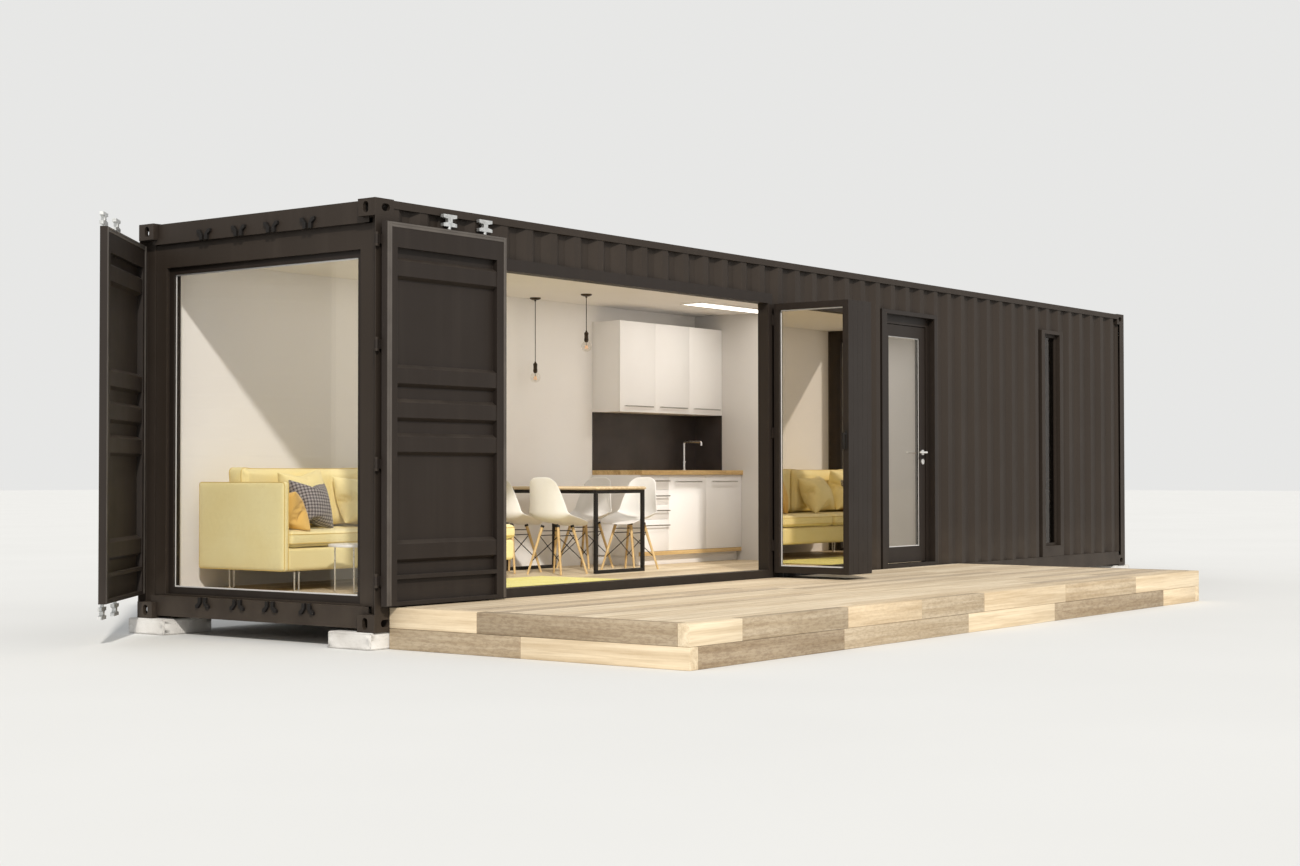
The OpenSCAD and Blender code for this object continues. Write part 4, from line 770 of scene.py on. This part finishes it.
plaid_weave, tree, shader = start_finish("plaid_weave", rough=0.92, shine=0.15, others={"Sheen Weight": 0.2})
chart = add(tree, "UVMap", uv_map="cloth").outputs["UV"]
parts = add(tree, "SeparateXYZ", {0: chart})
bands = []
for axis in ("X", "Y"):
    stripe = calc(tree, "PINGPONG", calc(tree, "MULTIPLY", parts.outputs[axis], 15.0), 0.5)
    bands.append(ramp(tree, stripe, (0.20, 1.0), (0.24, 0.0)))
both_bands = calc(tree, "MULTIPLY", calc(tree, "ADD", *bands), 0.5)
thread = add(tree, "TexWave", {"Vector": chart, "Scale": 38.0, "Distortion": 0.4},
             bands_direction="DIAGONAL").outputs["Fac"]
tone = ramp(tree, both_bands, (0.0, tint(176, 170, 168)), (0.5, tint(134, 128, 128)), (1.0, tint(86, 81, 83)))
tone = mix(tree, ramp(tree, thread, (0.3, 0.4), (0.7, 0.0)), tone, (0.7, 0.7, 0.7, 1), "MULTIPLY")
coat_over(tree, shader, tone, calc(tree, "ADD", thread, both_bands), 0.4, 0.002)
ochre_weave = woven_cloth("ochre_weave", (246, 206, 126), (238, 194, 108), slub=0.4)

# Each cushion's side in metres, its spin and lean in degrees, and the place of its left side and its
# gap to the back cushions in millimetres. The last one leans on the arm.
for name, side, finish, slot_name, spin, leaning, left, gap in (
    ("scatter_back", 0.45, yellow_weave, "yellow_fabric", 4, 12, 700, 4),
    ("scatter_plaid", 0.38, plaid_weave, "plaid_fabric", -4, 20, 700, 125),
    ("scatter_yellow", 0.43, yellow_weave, "yellow_fabric", -5, 27, 1270, 4),
    ("scatter_right_1", 0.42, ochre_weave, "yellow_fabric", 5, 18, 2100, 4),
    ("scatter_right_2", 0.42, yellow_weave, "yellow_fabric", -6, 18, 2535, 4),
):
    lay_cushion(loose_cushion(name, side, seed=len(name) + left), finish, slot_name, "X", leaning, spin,
                at(left, 0, 0).x, back=rest_front - gap / 1000)
lay_cushion(loose_cushion("scatter_ochre", 0.34, seed=2), ochre_weave, "yellow_fabric", "Y", 30, 4,
            arm_end + 0.003, front=at(0, 1300, 0).y)

# The side table.
# A thin round top with an eased edge, lacquered white, on four hairpin legs.
table_low, table_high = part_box("side_table")
top_radius, top_thick, leg_reach = 0.22, 0.02, 0.17
middle = (table_low + table_high) / 2
bpy.ops.object.select_all(action="DESELECT")
bpy.ops.mesh.primitive_cylinder_add(vertices=64, radius=top_radius, depth=top_thick,
                                    location=(middle.x, middle.y, table_high.z - top_thick / 2))
bpy.ops.object.transform_apply(location=True, rotation=True, scale=True)
round_top = bpy.context.object
round_top.name = "side_table_top"
ease_edges(round_top, 5, 3)
white_lacquer = even_coat("white_lacquer", (232, 229, 224), (242, 240, 236), (2.0, 4.0), (0.04, 0.0005),
                          relief=(90.0, 3.0), gloss=(0.28, 0.42), patches=(6.0, 4.0), rough=0.35)
settle(round_top, "cabin", white_lacquer, "table_white", "side_table")
legs = []
for turn in (math.radians(45 + 90 * k) for k in range(4)):
    foot_point = Vector((middle.x + leg_reach * math.cos(turn), middle.y + leg_reach * math.sin(turn),
                         table_low.z))
    legs.append(hairpin("leg", foot_point, 0.07, table_high.z - top_thick + 0.0005 - table_low.z, 0.005,
                        turn + math.pi / 2))
settle(join_up("side_table_legs", legs), "cabin", rod_lacquer, "bright_metal", "side_table")

# The rug.
# Looped wool in yellow-green on a flat backing, 2130 by 850 mm, laid on the floor with soft ripples.
rug_low, rug_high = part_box("rug")
middle, rug_size = (rug_low + rug_high) / 2, rug_high - rug_low
bpy.ops.object.select_all(action="DESELECT")
bpy.ops.mesh.primitive_grid_add(x_subdivisions=170, y_subdivisions=68, size=1,
                                location=(middle.x, middle.y, rug_low.z + 0.001))
bpy.ops.transform.resize(value=(rug_size.x, rug_size.y, 1))
bpy.ops.object.transform_apply(location=True, rotation=True, scale=True)
rug = bpy.context.object
rug.name = "wool_rug"
for point in rug.data.vertices:
    inner = min(point.co.x - rug_low.x, rug_high.x - point.co.x, point.co.y - rug_low.y, rug_high.y - point.co.y)
    ripple = 0.0012 * (1 + math.sin(point.co.x * 9.0 + 1.3) * math.cos(point.co.y * 7.0))
    if inner > 0.004:
        point.co.z += ripple * min(1.0, inner / 0.05)
shape(rug, "SOLIDIFY", thickness=0.0055, offset=1)
bpy.ops.object.shade_smooth_by_angle(angle=math.radians(50))
wool_loops, tree, shader = start_finish("wool_loops", rough=0.95, shine=0.1, others={"Sheen Weight": 0.3})
place = where(tree)
loops = add(tree, "TexVoronoi", {"Vector": place, "Scale": 160.0}).outputs["Distance"]
tone = ramp(tree, noise(tree, place, 5.0, 5.0), (0.3, tint(238, 228, 112)), (0.7, tint(248, 240, 140)))
tone = mix(tree, ramp(tree, loops, (0.2, 0.0), (0.8, 0.5)), tone, (0.62, 0.58, 0.42, 1), "MULTIPLY")
coat_over(tree, shader, tone, calc(tree, "SUBTRACT", 1.0, loops), 0.8, 0.004)
settle(rug, "cabin", wool_loops, "rug_wool", "rug")

# The dining table.
# A pale oak top with rounded corners on two closed loops of square black tube.
top_low, top_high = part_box("dining_table")
table_top = start_block("table_top", (top_low.x, top_low.y, top_high.z - 0.028), top_high)
bpy.ops.object.mode_set(mode="EDIT")
bpy.ops.mesh.select_all(action="DESELECT")
bpy.ops.object.mode_set(mode="OBJECT")
for edge in table_top.data.edges:
    one, two = (table_top.data.vertices[i].co for i in edge.vertices)
    edge.select = abs(one.z - two.z) > 0.01
bpy.ops.object.mode_set(mode="EDIT")
bpy.ops.mesh.select_mode(type="EDGE")
bpy.ops.mesh.bevel(offset=0.02, segments=6)
bpy.ops.object.mode_set(mode="OBJECT")
ease_edges(table_top, 2.5, 2)
mark(table_top, tone=0.15, cut=0.3)
table_oak = sawn_wood("table_oak", ((0.0, tint(238, 218, 182)), (1.0, tint(220, 194, 150))), 1, ring=1.2,
                      rough=0.45, raised=0.12)
settle(table_top, "cabin", table_oak, "oak", "dining_table")
tube = 0.03
left, right, up = top_low.x + 0.01, top_high.x - 0.01, top_high.z - 0.0285
bars = []
for y in (top_low.y + 0.02, top_high.y - 0.02 - tube):
    for x0, x1, z0, z1 in ((left, right, top_low.z, top_low.z + tube), (left, right, up - tube, up),
                           (left, left + tube, top_low.z + tube, up - tube),
                           (right - tube, right, top_low.z + tube, up - tube)):
        bars.append(start_block("tube", (x0, y, z0), (x1, y + tube, z1)))
for x in (top_low.x + 0.04, top_high.x - 0.04 - tube):
    bars.append(start_block("tube", (x, top_low.y + 0.05, up - tube), (x + tube, top_high.y - 0.05, up)))
table_loops = join_up("table_loops", bars)
ease_edges(table_loops, 2.5, 2)
black_tube = painted_steel("black_tube", (34, 32, 31), (92, 88, 84), (70, 66, 62), rough=0.45, soiled=0.0,
                           rounding=0.001)
settle(table_loops, "cabin", black_tube, "table_frame", "dining_table")

# The dining chairs.
# Each has a moulded shell, white, thin and matt, on four turned ash dowels braced by black wire.
seat_level, bend, lean, back_run, shell = 0.44, 0.10, math.radians(5), 0.296, 0.006
width, depth, bend_start = 0.46, 0.42, 0.128


def chair_point(u, v):
    """A point of the shell: u runs from side to side, v from the front lip to the top of the back."""
    seat_share, bend_share = 0.40, 0.60
    share = min(1.0, v / seat_share)
    turn = min(1.0, max(0.0, (v - seat_share) / (bend_share - seat_share))) * (math.pi / 2 - lean)
    up = max(0.0, (v - bend_share) / (1 - bend_share)) * back_run
    x = depth - share * (depth - bend_start) - bend * math.sin(turn) - up * math.sin(lean)
    z = bend * (1 - math.cos(turn)) + up * math.cos(lean) - 0.012 * math.sin(math.pi * share) \
        - 0.035 * (1 - share) ** 5
    half_width = 0.5 * width * (1 - 0.06 * (1 - share) ** 2 - 0.41 * max(0.0, (v - 0.5) / 0.5) ** 1.15)
    rise = 0.070 * abs(u) ** 2.4 * math.sin(math.pi * min(1.0, v / 0.98)) ** 0.9
    return Vector((x + rise * math.sin(turn), u * half_width, z + rise * math.cos(turn)))


def shell_mesh(name):
    """A grid bent into the shell, its corners rounded, given its thickness and smoothed."""
    bpy.ops.object.select_all(action="DESELECT")
    across, up = 14, 36
    bpy.ops.mesh.primitive_grid_add(x_subdivisions=up, y_subdivisions=across, size=2, location=(0, 0, 0))
    made = bpy.context.object
    made.name = name
    for point in made.data.vertices:
        v, u = (point.co.x + 1) / 2, point.co.y
        # squares off towards the ends with a round corner, as the moulding does
        v_far = 2 * v - 1
        squeeze = 1 - 0.30 * max(0.0, (abs(v_far) - 0.87) / 0.13) ** 2.2
        reach = 1 - 0.03 * max(0.0, (abs(u) - 0.6) / 0.4) ** 2.0
        point.co = chair_point(u * squeeze, (v_far * reach + 1) / 2)
    shape(made, "SOLIDIFY", thickness=shell, offset=-1)
    shape(made, "SUBSURF", levels=1, render_levels=1)
    bpy.ops.object.mode_set(mode="EDIT")
    bpy.ops.mesh.select_all(action="SELECT")
    bpy.ops.mesh.normals_make_consistent(inside=False)
    bpy.ops.object.mode_set(mode="OBJECT")
    bpy.ops.object.shade_smooth()
    return made


def taper(name, start, end, start_radius, end_radius, sides=16):
    """A turned dowel or a wire between two points."""
    bpy.ops.object.select_all(action="DESELECT")
    run = end - start
    bpy.ops.mesh.primitive_cone_add(vertices=sides, radius1=start_radius, radius2=end_radius, depth=run.length,
                                    location=(start + end) / 2, rotation=run.to_track_quat("Z", "Y").to_euler())
    bpy.ops.object.transform_apply(location=True, rotation=True, scale=True)
    made = bpy.context.object
    made.name = name
    bpy.ops.object.shade_smooth_by_angle(angle=math.radians(40))
    return made


def leg_at(side_x, side_y, level):
    """Where a splayed leg's centre line is at a level above the floor."""
    share = level / 0.412
    return Vector((0.215 + side_x * (0.175 - share * 0.08), side_y * (0.185 - share * 0.10), level))


moulded_shell = even_coat("moulded_shell", (232, 230, 226), (243, 241, 238), (3.0, 4.0), (0.08, 0.0004),
                          relief=(300.0, 2.0), gloss=(0.42, 0.6), patches=(9.0, 4.0), rough=0.5)
turned_ash = sawn_wood("turned_ash", ((0.0, tint(232, 204, 152)), (1.0, tint(212, 178, 120))), 2, ring=1.6,
                       rough=0.5, raised=0.1)
chair_shell = shell_mesh("chair_shell")
chair_shell.data.transform(Matrix.Translation((0, 0, seat_level)))
dowels, wires = [], []
for side_x in (-1, 1):
    for side_y in (-1, 1):
        dowel = taper("dowel", leg_at(side_x, side_y, 0.0), leg_at(side_x, side_y, 0.405), 0.009, 0.0135)
        mark(dowel, tone=0.3 + 0.2 * side_x * side_y, cut=0.21 * (side_x + 2) + 0.13 * (side_y + 2))
        dowels.append(dowel)
        wires.append(taper("plug", leg_at(side_x, side_y, 0.400), leg_at(side_x, side_y, 0.418), 0.016, 0.016))
for side in (-1, 1):
    for start, end in ((leg_at(side, -1, 0.11), leg_at(side, 1, 0.33)),
                       (leg_at(side, 1, 0.11), leg_at(side, -1, 0.33)),
                       (leg_at(-1, side, 0.33), leg_at(1, side, 0.33)),
                       (leg_at(-1, side, 0.37), leg_at(1, -side, 0.37))):
        wires.append(taper("wire", start, end, 0.004, 0.004, 10))
models = ((chair_shell, moulded_shell, "chair_shell"), (join_up("chair_dowels", dowels), turned_ash, "oak"),
          (join_up("chair_wires", wires), black_tube, "table_frame"))

# Two chairs stand at each long side of the table, and the right pair faces the left one.
chair_number = 0
for y in (1432.96, 1947.04):
    for x, facing in ((3415, 0.0), (4860, math.pi)):
        chair_number += 1
        spot = at(x, y, 0)
        move = Matrix.Translation((spot.x, spot.y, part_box("dining_chairs")[0].z)) @ Matrix.Rotation(facing, 4, "Z")
        for model, finish, slot_name in models:
            piece = model.copy()
            piece.data = model.data.copy()
            bpy.context.scene.collection.objects.link(piece)
            piece.name = f"{model.name}_{chair_number}"
            piece.data.transform(move)
            settle(piece, "cabin", finish, slot_name, "dining_chairs")
for model, _, _ in models:
    bpy.data.objects.remove(model)

# The kitchen.
# Lacquered board fronts with eased edges and steel bar handles on a carcass, an oak worktop and an
# oak strip over the set-back plinth, three wall units, a dark splashback and a chrome tap.
left_x, right_x, front_y, back_y = 5230, 6900, 1760, 2330
bottom, top, board = 290, 1046, 19
drawer_levels = (330, 630, 768, 906, top)
drawer_run, door_run, reveal = 450, 610, 1.5
door_starts = (left_x + drawer_run, left_x + drawer_run + door_run)
fronts = [
    start_block("carcass", at(left_x + 1, front_y + board + 0.5, bottom + 1), at(right_x, back_y, top)),
    start_block("plinth", at(left_x + 20, front_y + 60, room_floor), at(right_x, back_y, bottom + 0.5)),
]
for low, high in zip(drawer_levels, drawer_levels[1:]):
    fronts.append(start_block("front", at(left_x, front_y, low),
                              at(left_x + drawer_run - reveal, front_y + board, high - 2)))
for x in door_starts:
    fronts.append(start_block("front", at(x, front_y, drawer_levels[0]),
                              at(x + door_run - reveal, front_y + board, top - 2)))
base_units = join_up("kitchen_fronts", fronts)
ease_edges(base_units, 1.6, 2)
unit_lacquer = even_coat("unit_lacquer", (238, 235, 233), (244, 242, 240), (1.2, 4.0), (0.04, 0.0004),
                         relief=(180.0, 2.0), gloss=(0.34, 0.48), patches=(4.0, 4.0), rough=0.4)
settle(base_units, "cabin", unit_lacquer, "white_units", "kitchen_base")

worktop_front, worktop_top = 1740, 1090
worktop_stops = ((0.0, tint(232, 204, 152)), (0.5, tint(220, 188, 134)), (1.0, tint(202, 168, 116)))
worktop_oak = sawn_wood("worktop_oak", worktop_stops, 0, ring=1.1, rough=0.4, raised=0.12)
strip = start_block("oak_strip", at(left_x, front_y, bottom), at(right_x, front_y + board, bottom + 37))
mark(strip, tone=0.3, cut=0.8)
ease_edges(strip, 1, 1)
settle(strip, "cabin", worktop_oak, "oak", "kitchen_base")
staves = lay_boards("stave", random.Random(11), at(left_x, worktop_front, top), at(right_x, back_y, worktop_top),
                    7, (0.25, 0.9), (0.6, 1.1), 0.12)
worktop = join_up("worktop_staves", staves)
ease_edges(worktop, 0.7, 1)
settle(worktop, "cabin", worktop_oak, "oak", "kitchen_worktop")

wall_front, wall_low, wall_high = 1995, 1640, 2497
wall_run = (right_x - left_x) / 3
wall_starts = [left_x + k * wall_run for k in range(3)]
wall_parts = [start_block("cabinet", at(left_x + 1, wall_front + board + 0.5, wall_low),
                          at(right_x, back_y, wall_high))]
for x in wall_starts:
    wall_parts.append(start_block("front", at(x, wall_front, wall_low),
                                  at(x + wall_run - 1.2, wall_front + board, wall_high)))
wall_units = join_up("wall_unit_fronts", wall_parts)
ease_edges(wall_units, 1.6, 2)
settle(wall_units, "cabin", unit_lacquer, "white_units", "kitchen_wall_units")


def pull_bar(x, y, z, length):
    """A round bar on two pins, standing off a front."""
    start, end = at(x, y - 32, z), at(x + length, y - 32, z)
    return [
        taper("bar", start - Vector((0.012, 0, 0)), end + Vector((0.012, 0, 0)), 0.0065, 0.0065, 14),
        taper("pin", at(x, y, z), start, 0.004, 0.004, 10),
        taper("pin", at(x + length, y, z), end, 0.004, 0.004, 10),
    ]


satin_steel = even_coat("satin_steel", (176, 174, 170), (206, 205, 202), (1.0, 3.0, (12, 900, 900)), (0.05, 0.0002),
                        gloss=(0.26, 0.38), rough=0.3, metal=1.0)
base_bars, wall_bars = [], []
for high in drawer_levels[1:]:
    base_bars += pull_bar(left_x + 35, front_y, high - 58, 380)
for x in door_starts:
    base_bars += pull_bar(x + 95, front_y, top - 66, 388)
for x in wall_starts:
    wall_bars += pull_bar(x + 70, wall_front, wall_low + 55, 400)
for name, bars, node in (("base_handles", base_bars, "kitchen_base"),
                         ("wall_handles", wall_bars, "kitchen_wall_units")):
    handles = join_up(name, bars)
    ease_edges(handles, 0.8, 1)
    settle(handles, "cabin", satin_steel, "bright_metal", node)

splash_panel = even_coat("splash_panel", (54, 48, 46), (66, 59, 56), (3.5, 6.0), (0.05, 0.0006), relief=(60.0, 4.0),
                         gloss=(0.16, 0.26), patches=(7.0, 5.0), rough=0.2)
dress(splash_panel, "kitchen_splashback")


def by_tap(x, y, z):
    """A point given in millimetres from the middle of the tap's foot on the worktop."""
    return at(6533 + x, 2200 + y, worktop_top + z)


spout = [by_tap(0, y, z) for y, z in ((0, 10), (0, 240), (0, 268), (-4, 280), (-20, 282), (-195, 282),
                                      (-208, 278), (-210, 262), (-210, 247))]
tap = join_up("kitchen_mixer", [
    bent_rod("spout", spout, 0.0115, resolution=5),
    taper("flange", by_tap(0, 0, 0), by_tap(0, 0, 9), 0.024, 0.021, 28),
    taper("body", by_tap(0, 0, 8), by_tap(0, 0, 92), 0.0145, 0.0125, 24),
    taper("nozzle", by_tap(0, -210, 250), by_tap(0, -210, 244), 0.0115, 0.0115, 20),
    taper("lever", by_tap(12, 0, 62), by_tap(21, -6, 92), 0.0045, 0.0035, 12),
])
tap_chrome = even_coat("tap_chrome", (236, 236, 238), (246, 246, 248), (40.0, 3.0), (0.02, 0.0002),
                       gloss=(0.16, 0.26), rough=0.2, metal=1.0)
settle(tap, "cabin", tap_chrome, "bright_metal", "kitchen_tap")

# The entrance door's handles.
# Levers on both sides of the leaf, anodised and finely brushed.
lever_satin = even_coat("lever_satin", (232, 231, 229), (243, 242, 240), (90.0, 3.0), (0.03, 0.0002),
                        gloss=(0.3, 0.42), rough=0.35, metal=0.6)
dress(lever_satin, "entrance_handles")

# The pendant lamps.
# A flat metal rose on the ceiling, a taut twisted flex, a blackened brass holder and a large clear
# globe with a looped filament.
blackened_brass = even_coat("blackened_brass", (52, 44, 38), (94, 80, 64), (40.0, 4.0), (0.05, 0.0003),
                            gloss=(0.32, 0.5), stops=(0.35, 0.75), rough=0.4, metal=0.8)
flex_cloth = even_coat("flex_cloth", (34, 30, 27), (58, 51, 45), (900.0, 2.0), (0.4, 0.0004),
                       gloss=(0.8, 0.98), stops=(0.35, 0.7), rough=0.9)
globe_glass = thin_pane("globe_glass", (226, 220, 210), 0.2)
filament_glow = start_finish("filament_glow", rough=0.5, others={
    "Base Color": tint(255, 190, 96), "Emission Color": tint(255, 176, 84), "Emission Strength": 0.5})[0]


def turned(name, centre, profile, sides=40):
    """Spins a profile of (radius, height) points about a vertical line through the centre."""
    bpy.ops.object.select_all(action="DESELECT")
    bpy.ops.mesh.primitive_plane_add(size=0.1, location=(0, 0, 0))
    made = bpy.context.object
    made.name = name
    line = bpy.data.meshes.new(name)
    points = [centre + Vector((r, 0, z)) for r, z in profile]
    line.from_pydata(points, [(k, k + 1) for k in range(len(points) - 1)], [])
    made.data = line
    bpy.ops.object.mode_set(mode="EDIT")
    bpy.ops.mesh.select_all(action="SELECT")
    bpy.ops.mesh.spin(steps=sides, angle=math.tau, center=centre, axis=(0, 0, 1))
    bpy.ops.mesh.select_all(action="SELECT")
    bpy.ops.mesh.remove_doubles(threshold=0.00005)
    bpy.ops.mesh.normals_make_consistent(inside=False)
    bpy.ops.object.mode_set(mode="OBJECT")
    bpy.ops.object.origin_set(type="ORIGIN_CURSOR")
    bpy.ops.object.shade_smooth_by_angle(angle=math.radians(42))
    return made


lamp_x, globe_radius, flex_radius, flex_steps = 4262, 0.048, 0.0035, 16
rose = ((0.0, 0.0), (0.05, 0.0), (0.05, -0.006), (0.047, -0.012), (0.03, -0.019), (0.010, -0.022),
        (0.007, -0.034), (0.0, -0.036))
holder = ((0.0, 0.102), (0.006, 0.100), (0.009, 0.088), (0.017, 0.082), (0.0195, 0.074), (0.0195, 0.066),
          (0.0175, 0.064), (0.0175, 0.030), (0.0195, 0.028), (0.0195, 0.012), (0.016, 0.004),
          (0.013, -0.004), (0.0, -0.005))
globe = [(0.0, 0.046), (0.013, 0.046)]
for turn in (math.radians(74 - k * 164 / 16) for k in range(1, 16)):
    globe.append((globe_radius * math.cos(turn), globe_radius * math.sin(turn)))
globe.append((0.0, -globe_radius))

lamp_metal, lamp_globes, lamp_wires, flex_runs = [], [], [], {}
for side, y, drop in (("back", 2215, 679), ("front", 1623, 424)):
    ceiling, socket = at(lamp_x, y, ceiling_level), at(lamp_x, y, ceiling_level - drop)
    bulb = socket + Vector((0, 0, -0.042))
    lamp_metal += [turned("rose", ceiling, rose), turned("holder", socket, holder)]
    lamp_globes.append(turned("globe", bulb, globe))
    stem = [bulb + Vector((0, 0, 0.040)), bulb + Vector((0, 0, 0.008))]
    lamp_metal.append(bent_rod("stem", stem, 0.0022, smooth=False))
    for k in range(4):
        one, two = math.tau * k / 4, math.tau * (k + 0.5) / 4
        loop = [bulb + Vector((reach * math.cos(turn), reach * math.sin(turn), level)) for turn, reach, level in
                ((one, 0.006, 0.010), (one, 0.016, -0.022), (two, 0.016, -0.022), (two, 0.006, 0.010))]
        lamp_wires.append(bent_rod("filament", loop, 0.0008, resolution=1))
    # the flex runs from the rose's neck, 34 mm down, to the holder's top, 100 mm over its socket
    flex_runs[side] = []
    for share in (k / flex_steps for k in range(flex_steps + 1)):
        rise = Vector((0, 0, 0.1 * share - 0.034 * (1 - share)))
        flex_runs[side].append(ceiling.lerp(socket, share) + rise)
for name, parts, finish, slot_name in (("lamp_fittings", lamp_metal, blackened_brass, "lamp_metal"),
                                       ("lamp_globes", lamp_globes, globe_glass, "clear_glass"),
                                       ("lamp_filaments", lamp_wires, filament_glow, "lamp_panel")):
    settle(join_up(name, parts), "cabin", finish, slot_name, "pendant_lamps")
for side, run in flex_runs.items():
    flex = bent_rod("lamp_flex_" + side, run, flex_radius, smooth=False)
    settle(flex, "cabin", flex_cloth, "lamp_metal", "pendant_lamps")

# The ceiling light.
# A slim tray of folded white steel round a frosted sheet, lit evenly from behind.
tray_low, tray_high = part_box("ceiling_light")
rim = Vector((0.014, 0.014, 0))
inner_low, inner_high = tray_low + rim, tray_high - rim
light_tray = join_up("light_tray", [
    start_block("tray", tray_low, (tray_high.x, inner_low.y, tray_high.z)),
    start_block("tray", (tray_low.x, inner_high.y, tray_low.z), tray_high),
    start_block("tray", (tray_low.x, inner_low.y, tray_low.z), (inner_low.x, inner_high.y, tray_high.z)),
    start_block("tray", (inner_high.x, inner_low.y, tray_low.z), (tray_high.x, inner_high.y, tray_high.z)),
])
ease_edges(light_tray, 1, 1)
settle(light_tray, "cabin", white_lacquer, "lamp_panel", "ceiling_light")
lit_sheet = start_block("lit_sheet", inner_low + Vector((0, 0, 0.003)), inner_high)
ease_edges(lit_sheet, 0.5, 1)
frosted_sheet = even_coat("frosted_sheet", (240, 240, 236), (250, 250, 247), (6.0, 3.0), (0.05, 0.0003),
                          relief=(300.0, 2.0), rough=0.6,
                          others={"Emission Color": tint(255, 250, 240), "Emission Strength": 3.0})
settle(lit_sheet, "cabin", frosted_sheet, "lamp_panel", "ceiling_light")

# The door seals.
# Grey extruded gaskets round the inner faces of the cargo leaves, two millimetres and a half proud,
# butted at the corners, with a groove along their middle.
grey_gasket = even_coat("grey_gasket", (80, 74, 69), (94, 88, 82), (7.0, 5.0), (0.12, 0.0005), relief=(240.0, 2.0),
                        gloss=(0.48, 0.66), rough=0.55, shine=0.35)
leaf_low, leaf_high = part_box("right_cargo_leaf")
bottom, top = leaf_low.z - corner.z + 0.004, leaf_high.z - corner.z - 0.003
inner_face, lip, web = 0.0695, 0.0030, 0.0013
# each leaf's hinge line and how far it stands turned, in degrees; the left leaf is mirrored
for body, hinge_y, turned_by, mirrored in (("right_door", -15, -90, 1), ("left_door", 2453, -51, -1)):
    strips = []
    # each of (first and last distance from the hinge side, lower and upper level)
    for near, far, low, high in ((0.015, 0.058, bottom, top), (1.183, 1.211, bottom, top),
                                 (0.059, 1.182, top - 0.032, top)):
        across, up = (near + far) / 2, (low + high) / 2
        if far - near < high - low:
            halves = ((near, across - 0.003, low, high), (across + 0.003, far, low, high))
        else:
            halves = ((near, far, low, up - 0.003), (near, far, up + 0.003, high))
        for a, b, c, d in halves:
            strips.append(start_block("gasket_lip", (inner_face, a, c), (inner_face + lip, b, d)))
        strips.append(start_block("gasket_web", (inner_face, near, low), (inner_face + web, far, high)))
    seals = join_up(body + "_gaskets", strips)
    ease_edges(seals, 0.8, 2)
    seals.data.transform(Matrix.Translation(at(0, hinge_y, 0)) @ Matrix.Rotation(math.radians(turned_by), 4, "Z") @
                         Matrix.Diagonal((1, mirrored, 1, 1)) @ Matrix.Translation((0, 0.015, 0)))
    bpy.ops.object.mode_set(mode="EDIT")
    bpy.ops.mesh.select_all(action="SELECT")
    bpy.ops.mesh.normals_make_consistent(inside=False)
    bpy.ops.object.mode_set(mode="OBJECT")
    settle(seals, body, grey_gasket, "window_frame")

# The stack's seals and handle.
# Rubber flippers close the gaps between the folded leaves at both ends, and a dark lever stands on
# the outer stile of the first leaf.
fold_low, fold_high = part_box("folding_door_glass")
leaf_x, pitch, thick = fold_low.x - 0.025, 0.076, 0.070
outer_y, inner_y = fold_low.y - 0.056, fold_high.y + 0.056
foot, head = fold_low.z - 0.052, fold_high.z + 0.052
flippers = []
for x in (leaf_x + k * pitch + thick for k in range(4)):
    for y in (outer_y + 0.0004, inner_y - 0.0184):
        flippers.append(start_block("flipper", (x + 0.0002, y, foot), (x + 0.0058, y + 0.018, head)))
stack_seals = join_up("stack_seals", flippers)
ease_edges(stack_seals, 1.2, 2)
black_gasket = even_coat("black_gasket", (34, 29, 26), (42, 37, 33), (9.0, 5.0), (0.12, 0.0005),
                         relief=(240.0, 2.0), gloss=(0.5, 0.7), rough=0.6, shine=0.3)
settle(stack_seals, "cabin", black_gasket, "window_frame")


def by_grip(x, y, z):
    """A point in metres from the outer face of the first leaf, on the middle line of its outer stile."""
    return Vector((leaf_x + x, outer_y + 0.028 + y, at(0, 0, 1300).z + z))


stack_lever = join_up("stack_lever", [
    start_block("plate", by_grip(-0.007, -0.014, -0.045), by_grip(0.001, 0.014, 0.115)),
    taper("neck", by_grip(-0.004, 0, 0.085), by_grip(-0.040, 0, 0.085), 0.0095, 0.0085, 20),
    start_block("grip", by_grip(-0.048, -0.010, -0.040), by_grip(-0.034, 0.010, 0.098)),
])
ease_edges(stack_lever, 2.5, 3)
settle(stack_lever, "cabin", keeper_coat, "window_frame")

# The spacer bars.
# Bright aluminium strips along the edges of the sealed panes.


def pane_ring(name, node, axis, wide):
    """Four strips along the edges of a node's box, on its lower face across the axis."""
    low, high = (Vector(end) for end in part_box(node))
    other, level = 1 - axis, low[axis] - 0.0002
    low[axis], high[axis] = level - 0.0008, level + 0.0008
    start, end = low[other], high[other]
    bars = []
    for a, b, c, d in ((start, start + wide, low.z, high.z), (end - wide, end, low.z, high.z),
                       (start + wide, end - wide, low.z, low.z + wide),
                       (start + wide, end - wide, high.z - wide, high.z)):
        first, last = Vector(low), Vector(high)
        first[other], last[other], first.z, last.z = a, b, c, d
        bars.append(start_block("strip", first, last))
    made = join_up(name, bars)
    ease_edges(made, 0.4, 1)
    return made


spacer_metal = even_coat("spacer_metal", (228, 226, 222), (240, 238, 235), (60.0, 3.0), (0.05, 0.0003),
                         gloss=(0.34, 0.48), rough=0.4, metal=0.2)
for name, node, body, axis, wide in (("end_window_spacer", "end_window_glass", "cabin", 0, 0.010),
                                     ("folding_spacer", "folding_door_glass", "cabin", 0, 0.010),
                                     ("entrance_spacer", "entrance_glass", "entrance_door", 1, 0.008)):
    settle(pane_ring(name, node, axis, wide), body, spacer_metal, "bright_metal")
slit_low, slit_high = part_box("slit_glass")
slit_spacer = start_block("slit_spacer", (slit_low.x, slit_low.y - 0.001, slit_low.z),
                          (slit_low.x + 0.010, slit_low.y + 0.0006, slit_high.z))
ease_edges(slit_spacer, 0.4, 1)
settle(slit_spacer, "cabin", spacer_metal, "bright_metal")
